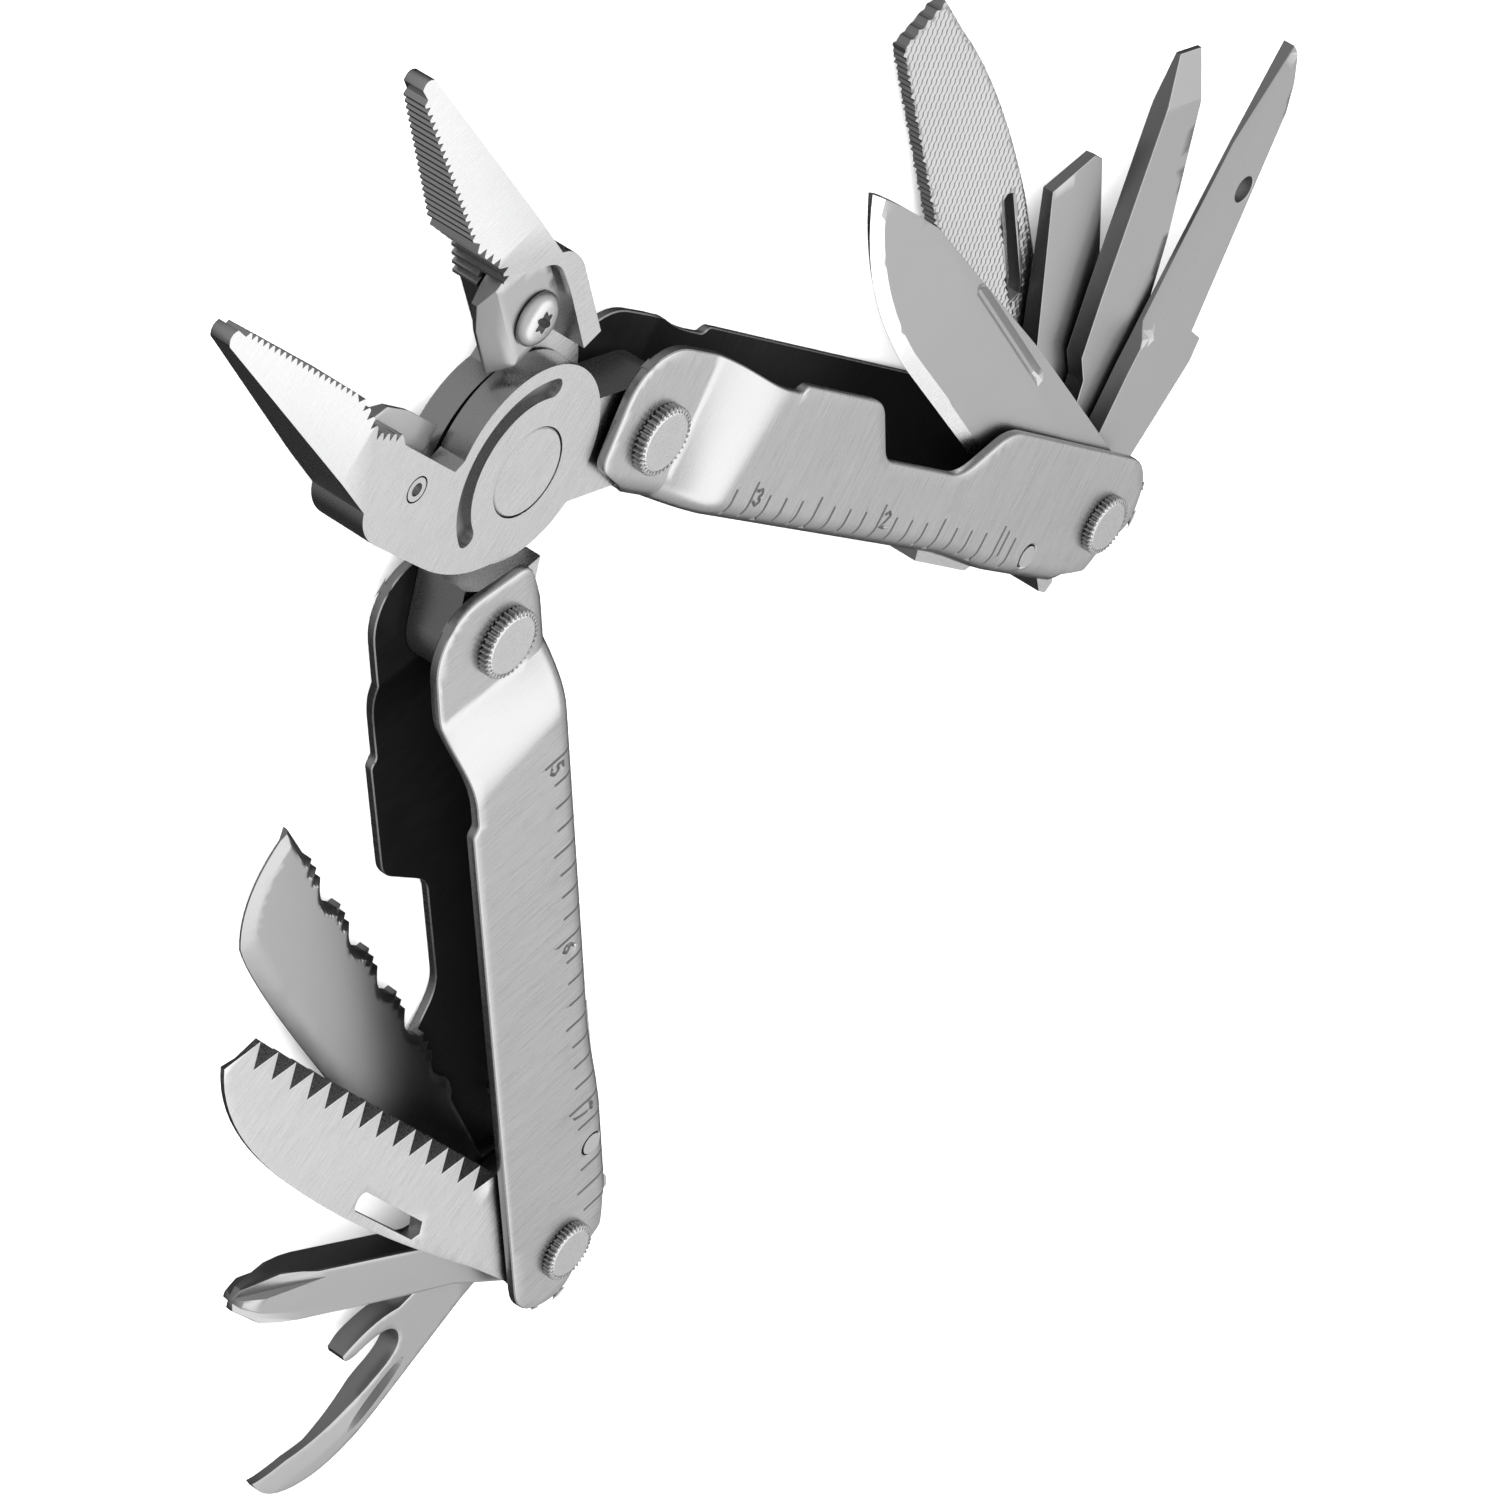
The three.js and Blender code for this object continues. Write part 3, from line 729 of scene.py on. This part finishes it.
def make_jaw(side, node):
    body = block(node + "_forged", jaw_loop(), -JAW_HALF, JAW_HALF)
    taper = side_block("taper", [(-8, -JAW_HALF), (27, -JAW_HALF), (53, -0.9), (53, 0.9),
                                 (27, JAW_HALF), (-8, JAW_HALF)], -4, 16)
    pocket_loop = [(-6, 0), (9.3, 0), (9.3, 16, 1.2), (8.9, 20.4, 1.6), (3.4, 24.2, 0.4), (-6, 24.2)]
    pocket = block("pocket", rounded(pocket_loop), -0.15, 4)
    rim_end = block("rim_end", [(8, -6), (13, -6), (13, 7.9), (8, 7.9)], -0.15, 4)
    disc = cylinder("disc", -0.5, 1.0, 9.9, -JAW_HALF, -0.15, 72)
    across = Vector((-TANG.y, TANG.x)).normalized() * EYE_RADIUS
    neck_loop = [across, -across, TANG - across, TANG + across]
    neck = block("neck", neck_loop, -EYE_HALF, EYE_HALF)
    eye = cylinder("eye", TANG.x, TANG.y, EYE_RADIUS, -EYE_HALF, EYE_HALF, 48)
    combine(body, "INTERSECT", taper)
    combine(body, "DIFFERENCE", pocket, rim_end)
    combine(body, "UNION", disc, neck, eye)
    combine(body, "DIFFERENCE",
            cylinder("lap", 0, 0, LAP, -0.15, 4, 72),
            cylinder("bore", 0, 0, 3.3, -4, 4),
            cylinder("counterbore", 0, 0, 4.56, -4, -1.6),
            cylinder("screw_bore", *SCREW_PLACE, 1.35, -4, 4, 24),
            cylinder("pivot_bore", TANG.x, TANG.y, 2.5, -4, 4),
            arc_slot("arc_slot", 8.4, 0.95, 25, 156, -4, -JAW_HALF + SLOT_DEPTH))
    soften(body, 0.09)
    settle(body)
    # the flat floor of the arc slot gets the darker steel: painted shade in the recess
    for polygon in body.data.polygons:
        at_slot_floor = abs(polygon.center.z / MM + JAW_HALF - SLOT_DEPTH) < 0.05
        polygon.material_index = int(at_slot_floor and abs(polygon.normal.z) > 0.9)
    body.matrix_world = jaw_frame(side)
    finish(body, node, "jaw", "recess_shade")
    weigh_normals(body)
    return body


def make_cutter(side, node):
    """The wire cutter insert: a block whose face slopes down to an edge on the closed line."""
    loop = rounded([(0.1, 12.3), (2.1, 12.1, 0.4), (7.0, 12.3, 0.8), (9.0, 14.2, 0.8), (8.6, 19.9, 0.8),
                    (3.6, 23.2, 0.4), (2.1, 22.6), (0.6, 21.4), (0.1, 18.2)], 4)
    ridge = np.array([(2.2, 12.5), (2.2, 22.2)])

    def place(flat, depth):
        top = CUTTER_TOP - np.clip((2.2 - flat[:, 0]) / 2.1, 0, 1) * 1.45
        return np.column_stack([flat, top + (0.15 - top) * depth])

    hole = circle(*SCREW_PLACE, 1.5, 24)
    body = shell(node + "_ground", [subdivide(loop, 1.0), hole], edge_rim(0.1, 1.8), place,
                 lines=[ridge], seeds=lattice(0.6, 8, 13, 22, 0.8, 1.2))
    body.matrix_world = jaw_frame(side)
    finish(body, node, "satin", "satin")


def make_cutter_screw(side, node):
    profile = [(0, -2.3), (0.6, -2.35), (0.66, -3.0), (1.18, -3.0), (1.2, -2.9), (1.2, 1.95), (2.4, 1.95),
               (2.65, 2.1), (2.6, 2.4), (2.3, 2.75), (1.7, 3.0), (0, 3.05)]
    head = lathe(node + "_star", profile)
    star = []
    for i in range(24):
        turn = 2 * math.pi * i / 24
        reach = 0.95 + 0.22 * math.cos(6 * turn)
        star.append((reach * math.cos(turn), reach * math.sin(turn)))
    combine(head, "DIFFERENCE", block("star", star, 2.1, 4))
    settle(head)
    head.data.transform(Matrix.Translation(Vector((*SCREW_PLACE, 0)) * MM))
    head.matrix_world = jaw_frame(side)
    finish(head, node, "fastener")


def make_rivet():
    profile = [(0, -3.0), (4.3, -3.0), (4.42, -2.9), (4.42, -1.9), (3.0, -1.85), (3.0, 1.85), (4.42, 1.9),
               (4.42, 2.9), (4.3, 3.0), (0, 3.0)]
    piece = lathe("plier_rivet_turned", profile, 64)
    piece.matrix_world = half_frame("left")
    finish(piece, "plier_rivet", "jaw")


# ---- tools
TANG_RADIUS = 6.0
KNIFE_BEVEL = 1.5        # width of the straight knife's ground edge
FLUTE_RISE = 0.2          # how fast the cross tip's flutes run out along the driver
NAIL_LINE = 3.6           # middle of its nail groove
TOOL_BORE = 2.3
LAYERS = {                # heights of each tool's back and front face, from the handle's middle
    "serrated_knife": (-5.35, -3.65),
    "can_opener": (-3.3, -0.95),
    "phillips_driver": (-0.6, 3.3),
    "saw": (3.65, 5.35),
    "straight_knife": (-5.35, -3.65),
    "awl": (-3.3, -1.55),
    "large_driver": (-1.2, 0.75),
    "small_driver": (1.1, 3.3),
    "flat_file": (3.65, 5.35),
}


def tang(top, bottom):
    """The round tang, from where the spine meets it to where the cutting side does."""
    return arc(0, 0, TANG_RADIUS, top, 360 + bottom, 30)


def make_tool(side, name, loop, key, seeds, holes=(), dip=None, rear_dip=None, lines=(),
              step=1.0, chamfer=0.08, margin=0.3, back_loop=None, bright=None, sharp=24):
    """A tool blank in its frame. dip(points) is how deep its front face is ground there. Faces
    within a given width of a given line get a far lighter steel, a painted highlight along the ground edge."""
    flip = 1 if side == "left" else -1

    def arranged(path):
        return (np.array(path, float) * (1, flip))[::flip]

    low, high = LAYERS[name] if flip > 0 else [-height for height in LAYERS[name]][::-1]

    def place(flat, depth):
        points = flat * (1, flip)
        top = high - (dip(points) if dip else 0)
        bottom = low + (rear_dip(points) if rear_dip else 0)
        return np.column_stack([flat, top + (bottom - top) * depth])

    cuts = [arranged(hole) for hole in (circle(0, 0, TOOL_BORE, 32), *holes)]
    if back_loop is None:
        fronts = backs = [subdivide(arranged(loop), step)] + cuts
    else:
        fronts, backs = [arranged(loop)] + cuts, [arranged(back_loop)] + cuts
    piece = shell(f"{name}_ground", fronts, edge_rim(chamfer, high - low), place, back_loops=backs,
                  lines=[np.array(line, float) * (1, flip) for line in lines],
                  seeds=seeds * (1, flip), margin=margin)
    piece.matrix_world = tool_frame(side, name) @ (Matrix.Identity(4) if flip > 0 else FACE_DOWN)
    piece.data.set_sharp_from_angle(angle=math.radians(sharp))
    # faces near the given line get the light edge steel: a painted highlight
    if bright:
        for polygon in piece.data.polygons:
            middle = np.array([polygon.center[:2]]) / MM * (1, flip)
            if gap_to(middle, bright[0])[0] < bright[1]:
                polygon.material_index = 2
    finish(piece, name, key, key, "edge")


def bevel_dip(edge, width, depth):
    """How deep a blade is ground at its edge, running out over a width beside it."""
    edge = np.array(edge, float)

    def dip(points):
        return depth * np.clip(1 - gap_to(points, edge) / width, 0, 1)
    return dip


def beside(line, amount):
    """The line moved to its left."""
    line = np.array(line, float)
    along = unit(np.gradient(line, axis=0))
    return line + np.column_stack([-along[:, 1], along[:, 0]]) * amount


def make_straight_knife():
    belly = np.vstack([[(29.0, -6.6), (40, -6.8), (51, -7.0)],
                       bend((51, -7.0), (66.0, -6.6), (76.2, 0.0), 14)])
    spine = np.vstack([bend((76.2, 0), (72.0, 1.6), (62.9, 3.4), 8),
                       [(46, 4.4), (31.2, 5.3), (12, 5.7)]])
    loop = np.vstack([tang(78, -15.5), [(25.5, -1.6)], belly, spine])
    ridge = np.array([(15, 2.2), (29, 2.75), (48.5, 2.6), (61, 3.2)])
    bevel = bevel_dip(belly, KNIFE_BEVEL, 0.42)

    def grind(points):
        x, y = points.T
        top = np.interp(x, ridge[:, 0], ridge[:, 1])
        flat = 0.4 * np.clip((top - y) / 8.0, 0, 1) * np.clip((x - 14) / 1.5, 0, 1)
        return flat + bevel(points)

    def dip(points):
        x, y = points.T
        groove = np.clip(1.35 - np.abs(y - NAIL_LINE) / 0.5, 0, 1)
        groove = groove * np.clip((x - 27) / 1.5, 0, 1) * np.clip((49.5 - x) / 1.5, 0, 1)
        return np.maximum(grind(points), groove * 0.55)

    lines = [beside(belly, KNIFE_BEVEL)[1:-3], ridge]
    for shift in (-0.68, -0.18, 0.18, 0.68):
        lines.append(np.column_stack([np.linspace(26.9, 49.6, 28), np.full(28, NAIL_LINE + shift)]))
    seeds = np.vstack([lattice(8, 76, -7, 6, 1.0, 0.8), lattice(13.6, 16, -2, 3, 0.4, 0.8)])
    make_tool("right", "straight_knife", loop, "satin", dip=dip, rear_dip=grind,
              lines=lines, seeds=seeds, bright=(belly, KNIFE_BEVEL - 0.1), chamfer=0.04, sharp=8)


def serrations():
    """Edge points from the heel to the tip: wide scallops with two small teeth between."""
    start, pitch, groups = 21.6, 9.6, 5

    def line(x):
        return -2.5 + (x - 21) * 0.047

    points = [(20.4, line(20.4))]
    for group in range(groups):
        x = start + group * pitch
        for t in np.linspace(0, 1, 9):
            points.append((x + t * pitch * 0.62, line(x) + 0.95 * math.sin(math.pi * t)))
        for tooth in (0.64, 0.82):
            points.append((x + pitch * (tooth + 0.08), line(x) + 0.6))
            points.append((x + pitch * (tooth + 0.16), line(x) - 0.1))
    return np.array(points)


def make_serrated_knife():
    edge = serrations()
    tip = np.array([(70.5, -0.3), (76.3, 0)])
    back = np.vstack([bend((76.3, 0), (75.0, 7.4), (68.6, 9.8), 12),
                      bend((68.6, 9.8), (64, 10.6), (45, 9.0), 8), [(20, 6.6)]])
    loop = np.vstack([tang(80, -15.5), [(19, -1.6)], edge, tip, back])
    cutting = bevel_dip(np.vstack([edge, tip]), 0.7, 0.5)
    swedge = bevel_dip(back, 1.6, 0.35)
    thinning = bevel_dip(back, 3.0, 1.15)

    def dip(points):
        return np.maximum(cutting(points), swedge(points) * np.clip((points[:, 0] - 30) / 20, 0, 1))

    def rear_dip(points):
        return thinning(points) * np.clip((points[:, 0] - 25) / 20, 0, 1)

    lines = [beside(back[:18], 1.6)[1:-1]]
    seeds = np.vstack([lattice(8, 76, -2, 10, 1.0, 0.8), lattice(20, 75, -2.8, 1.8, 0.25, 0.25)])
    make_tool("left", "serrated_knife", loop, "satin", dip=dip, rear_dip=rear_dip, lines=lines,
              seeds=seeds, step=0.6, chamfer=0.05, margin=0.12)


SAW_TEETH = 14


def saw_edge(shift):
    """Teeth of one face; the other face has its teeth half a pitch along."""
    start, end, height = 19.0, 73.5, 2.6
    pitch = (end - start) / SAW_TEETH
    points = []
    for k in range(2 * SAW_TEETH + 1):
        x = start + k * pitch / 2
        lift = height if (k + shift) % 2 else 0
        points.append((x, -2.1 + (x - start) * 0.045 + lift))
    return np.array(points)


def make_saw():
    back = np.vstack([[(76.2, 4.2)], bend((76.2, 4.2), (71, 8.6), (58, 9.4), 10),
                      bend((58, 9.4), (40, 10.4), (12, 6.6), 14)])
    rest = np.vstack([tang(72, -15.5), [(17, -1.6)]])
    front = np.vstack([rest, saw_edge(0), back])
    rear = np.vstack([rest, saw_edge(1), back])
    slot = rounded([(26.4, 5.6), (25.4, 6.7), (26.2, 7.6), (39.6, 8.3, 0.5), (40.4, 7.0, 0.8),
                    (39.8, 6.2, 0.5)], 4)
    thinning = bevel_dip(back[:-1], 4.0, 1.2)

    def rear_dip(points):
        return thinning(points) * np.clip((points[:, 0] - 18) / 20, 0, 1)

    make_tool("left", "saw", front, "saw", holes=[slot], rear_dip=rear_dip, back_loop=rear,
              seeds=lattice(6, 76, 1.4, 10, 1.5, 1.0), chamfer=0.05)


def make_flat_file():
    low_side = tooth_run((21, -5.4), (73.0, -5.6), 60, 0.22, 1)
    tip = np.vstack([bend((73.2 + 0.1 * k, -5.6 + 1.3 * k), (72.6 + 0.1 * k, -4.95 + 1.3 * k),
                          (73.3 + 0.1 * k, -4.3 + 1.3 * k), 4) for k in range(5)])
    top = np.vstack([[(68.0, 2.4)], bend((68.0, 2.4), (56.0, 6.4), (38.0, 7.0), 10),
                     [(20, 6.7), (12, 6.3)]])
    loop = np.vstack([tang(80, -15.5), [(16, -1.6), (20, -5.3)], low_side, tip, top])
    slot = rounded([(25.9, 2.6), (25.9, 4.0), (27.0, 4.4), (40.2, 5.5, 0.4), (40.9, 4.6),
                    (40.2, 3.6, 0.4)], 4)
    pitch = 1.2               # four seeds to a pitch, so that each tooth has its peak

    def dip(points):
        x, y = points.T
        bumps = np.cos(2 * np.pi * (x - 20) / pitch) * np.cos(2 * np.pi * (y + 5.4) / pitch)
        return 0.12 * (1 - bumps) * np.clip((x - 20) / 1.5, 0, 1)

    seeds = lattice(20, 74, -5.4, 7, pitch / 4, pitch / 4)
    make_tool("right", "flat_file", loop, "file", holes=[slot], dip=dip, rear_dip=dip, seeds=seeds,
              step=0.6, margin=0.12)


def make_small_driver():
    loop = np.vstack([tang(75, -21.5), [(15, -2.2), (18, -3.6), (39.3, -3.6), (40.2, 3.0), (39.2, 4.2),
                                        (20.8, 6.2), (12, 6.0)]])

    def dip(points):
        return 0.5 * np.clip((points[:, 0] - 16) / 24, 0, 1)

    make_tool("right", "small_driver", loop, "satin", dip=dip, rear_dip=dip,
              seeds=lattice(8, 40, -3, 6, 1.5, 1.5), sharp=5)


def make_large_driver():
    ground_from = 44.5
    loop = np.vstack([tang(75, -21.5), [(14, -2.2), (17, -3.9), (24, -3.6), (42, -2.3), (50.2, -1.7),
                                        (50.2, 2.0), (44.1, 4.0), (28.3, 5.8), (20, 6.1), (12, 6.0)]])

    def dip(points):
        return 0.7 * np.clip((points[:, 0] - ground_from) / 5.7, 0, 1)

    ridge = [(ground_from, -1.7), (ground_from, 3.5)]
    make_tool("right", "large_driver", loop, "satin", dip=dip, rear_dip=dip, lines=[ridge],
              seeds=lattice(8, 50, -3, 6, 1.5, 1.5), chamfer=0.1, sharp=5)


def make_awl():
    belly = np.array([(28, -1.4), (40, -0.6), (51.2, 0.5)])
    back = [(50.4, 1.4), (47.6, 3.4), (44.5, 4.7), (20.2, 7.0), (19.6, 9.4), (17.0, 9.6), (5.5, 6.6)]
    loop = np.vstack([tang(70, -21.5), [(15, -2.2)], belly, back])
    eye = circle(35.8, 3.5, 1.45, 24)
    ridge = np.array([(19, -0.4), (31, 0.5), (40, 1.1), (49, 1.0)])

    def dip(points):
        line = np.interp(points[:, 0], ridge[:, 0], ridge[:, 1])
        return 1.3 * np.clip((line - points[:, 1]) / 1.7, 0, 1) * np.clip((points[:, 0] - 18) / 2, 0, 1)

    make_tool("right", "awl", loop, "satin", holes=[eye], dip=dip, lines=[ridge],
              seeds=lattice(8, 50, -3, 9, 0.9, 0.7), step=0.9, sharp=8)


def make_can_opener():
    belly = np.vstack([[(20.6, 5.2)], bend((20.6, 5.2), (27.0, 6.6), (33.0, 4.2), 10),
                       bend((33.0, 4.2), (36.5, 3.4), (37.6, 2.6), 6)])
    hook = np.vstack([[(15.5, -1.5)], bend((15.5, -1.5), (19.0, -3.4), (23.5, -2.7), 7),
                      bend((23.5, -2.7), (23.8, -1.2), (22.0, -1.0), 4),
                      bend((22.0, -1.0), (16.4, -1.0), (16.4, 2.4), 10),
                      bend((16.4, 2.4), (16.4, 4.9), (20.6, 5.2), 8)])
    back = np.vstack([bend((37.6, 2.6), (37.0, 7.2), (32.0, 9.5), 8),
                      bend((32.0, 9.5), (27.0, 11.8), (20.0, 9.8), 8), [(8, 6.6)]])
    loop = np.vstack([tang(70, -14.5), hook, belly[1:], back])
    bevel_width = 3.0
    cut = bevel_dip(belly, bevel_width, 0.15)
    middle, long_half, short_half = np.array([20.8, 7.7]), 4.6, 0.95
    lean = math.radians(17)
    along = np.array([math.cos(lean), math.sin(lean)])
    across = np.array([-math.sin(lean), math.cos(lean)])
    floor_share = 0.72        # the oval groove's floor, as a share of its outline

    def oval(scale):
        turns = np.linspace(0, 2 * math.pi, 33)[:, None]
        x, y = long_half * scale * np.cos(turns), short_half * scale * np.sin(turns)
        return middle + along * x + across * y

    def dip(points):
        away = points - middle
        reach = np.hypot(away @ along / long_half, away @ across / short_half)
        groove = 1.1 * np.clip((1 - reach) / (1 - floor_share), 0, 1)
        return np.maximum(cut(points) * np.clip((points[:, 0] - 21.5) / 3, 0, 1), groove)

    def rear_dip(points):
        return 1.3 * np.clip((points[:, 0] - 22) / 8, 0, 1)

    lines = [oval(1.0), oval(floor_share), beside(belly, bevel_width)[4:-3]]
    make_tool("left", "can_opener", loop, "satin", dip=dip, rear_dip=rear_dip, lines=lines,
              seeds=lattice(8, 37, -2, 11, 0.6, 0.5), step=0.7, chamfer=0.12)


def make_phillips():
    low, high = LAYERS["phillips_driver"]
    middle = (low + high) / 2
    across, half = 2.0, 2.8   # the shaft's centre line lies this far towards the spine; half its width
    sides = [(15, -2.2), (19, across - half), (48, across - half), (48, across + half),
             (20, across + half), (12, 4.6)]
    loop = np.vstack([tang(70, -21.5), sides])
    shaft = shell("phillips_driver_ground", [subdivide(loop, 2.0), circle(0, 0, TOOL_BORE, 32)],
                  edge_rim(0.45, high - low), flat_place(low, high))
    tip = [(0, -20), (9, -20), (9, 31), (3.3, 38.4), (2.9, 42.6), (1.2, 47.0), (0, 47.6)]
    cone = lathe("cone", tip, 40)
    centre = Matrix.Translation(Vector((0, across, middle)) * MM)
    cone.data.transform(centre @ Matrix.Rotation(math.pi / 2, 4, "Y"))
    combine(shaft, "INTERSECT", cone)
    for k in range(4):
        turn = math.radians(45 + 90 * k)
        radial = Vector((0, math.cos(turn), math.sin(turn)))
        tilt = math.atan2(FLUTE_RISE, 1)
        ahead = Vector((1, 0, 0)) * math.cos(tilt) - radial * math.sin(tilt)
        out = radial * math.cos(tilt) + Vector((1, 0, 0)) * math.sin(tilt)
        flute = block(f"flute_{k}", [(0, 0), (0.9, -0.75), (5, -4.6), (5, 4.6), (0.9, 0.75)], -12, 12)
        place = Matrix((out, ahead.cross(out), ahead)).transposed().to_4x4()
        place.translation = (Vector((42, across, middle)) + radial * 1.5) * MM
        flute.data.transform(place)
        combine(shaft, "DIFFERENCE", flute)
    soften(shaft, 0.05)
    settle(shaft)
    shaft.matrix_world = tool_frame("left", "phillips_driver")
    finish(shaft, "phillips_driver", "satin")
    weigh_normals(shaft)


# ---- carried-over pieces
def dress_cad_nodes():
    keys = {"lock_lever": "fastener", "lever_pin": "fastener", "lever_spring": "dark"}
    for side in ("left", "right"):
        for part, key in keys.items():
            node = frame["nodes"][f"{side}_{part}"]
            finish(node, node.name, key)
            soften(node, 0.2 if part == "lock_lever" else 0.08, 3)


# ---- camera, studio
CAMERA_PLACE = Vector((-0.11224, 0.55007, 0.30689))
CAMERA_AXES = (
    (0.589903, -0.270964, 0.760653),
    (0.790816, 0.384229, -0.476423),
    (-0.163171, 0.882580, 0.440940),
)
CAMERA_LENS = 167.43


def make_camera():
    camera = bpy.data.objects.new("camera", bpy.data.cameras.new("camera"))
    bpy.context.scene.collection.objects.link(camera)
    camera.data.sensor_width = 36.0
    camera.data.lens = CAMERA_LENS
    camera.data.clip_start = 0.01
    turn = Matrix([Vector(axis).normalized() for axis in CAMERA_AXES]).transposed().to_4x4()
    camera.matrix_world = Matrix.Translation(CAMERA_PLACE) @ turn
    bpy.context.scene.camera = camera


def make_softbox(name, direction, distance, size, radiance, reflected=True):
    """A large lamp that is either seen in the steel or lights the floor."""
    light = bpy.data.lights.new(name, "AREA")
    light.shape = "RECTANGLE"
    light.size, light.size_y = size
    light.energy = radiance * math.pi * size[0] * size[1]
    lamp = bpy.data.objects.new(name, light)
    bpy.context.scene.collection.objects.link(lamp)
    lamp.visible_glossy = reflected
    lamp.visible_diffuse = not reflected
    lamp.location = Vector(direction).normalized() * distance
    lamp.rotation_euler = lamp.location.to_track_quat("Z", "Y").to_euler()


def ramp_over(nodes, links, value, stops):
    """A brightness that follows value from -1 to 1 through (position, grey) stops."""
    spread = spread_over(nodes, -1, 1, 0, 1)
    links.new(value, spread.inputs["Value"])
    ramp = nodes.new("ShaderNodeValToRGB")
    for i, (position, grey) in enumerate(stops):
        stop = ramp.color_ramp.elements[i] if i < 2 else ramp.color_ramp.elements.new(position)
        stop.position = position
        stop.color = (grey, grey, grey, 1)
    links.new(spread.outputs[0], ramp.inputs[0])
    return ramp.outputs[0]


def light_world(nodes, links):
    """A white tent: pale above; below it, dark towards -Y and half bright towards +Y."""
    coords = nodes.new("ShaderNodeTexCoord")
    split = nodes.new("ShaderNodeSeparateXYZ")
    links.new(coords.outputs["Generated"], split.inputs[0])
    height = split.outputs["Z"]
    above = ramp_over(nodes, links, height, [(0.5, 0.45), (0.72, 0.7), (0.84, 0.95), (1.0, 1.0)])
    below = ramp_over(nodes, links, split.outputs["Y"], [(0.25, 0.03), (0.5, 0.16), (0.85, 0.36)])
    share = ramp_over(nodes, links, height, [(0.44, 0.0), (0.52, 1.0)])
    mix = nodes.new("ShaderNodeMixRGB")
    links.new(share, mix.inputs[0])
    links.new(below, mix.inputs[1])
    links.new(above, mix.inputs[2])
    links.new(mix.outputs[0], nodes["Background"].inputs["Color"])


def make_studio():
    bpy.ops.mesh.primitive_plane_add(size=6.0)
    floor = bpy.context.object
    floor.name = "floor"
    paper = bpy.data.materials.new("paper")
    paper.use_nodes = True
    shader = paper.node_tree.nodes["Principled BSDF"]
    shader.inputs["Base Color"].default_value = (0.9, 0.9, 0.9, 1)
    shader.inputs["Roughness"].default_value = 0.95
    shader.inputs["Specular IOR Level"].default_value = 0.0
    floor.data.materials.append(paper)
    floor.visible_glossy = False
    world = bpy.data.worlds.new("studio")
    bpy.context.scene.world = world
    world.use_nodes = True
    light_world(world.node_tree.nodes, world.node_tree.links)
    make_softbox("high_softbox", (0.15, -0.56, 0.83), 1.3, (1.6, 0.9), 1.15)
    make_softbox("front_softbox", (-0.16, 0.88, 0.44), 1.6, (0.8, 0.8), 60, reflected=False)
    bpy.context.scene.view_settings.view_transform = "Standard"


make_camera()
make_studio()
for side in ("left", "right"):
    make_channel(side)
    make_fasteners(side)
for side, node in (("left", "rear_jaw"), ("right", "front_jaw")):
    make_jaw(side, node)
    make_cutter(side, f"{node}_cutter")
    make_cutter_screw(side, f"{node}_cutter_screw")
make_rivet()
make_straight_knife()
make_serrated_knife()
make_saw()
make_flat_file()
make_small_driver()
make_large_driver()
make_awl()
make_can_opener()
make_phillips()
dress_cad_nodes()
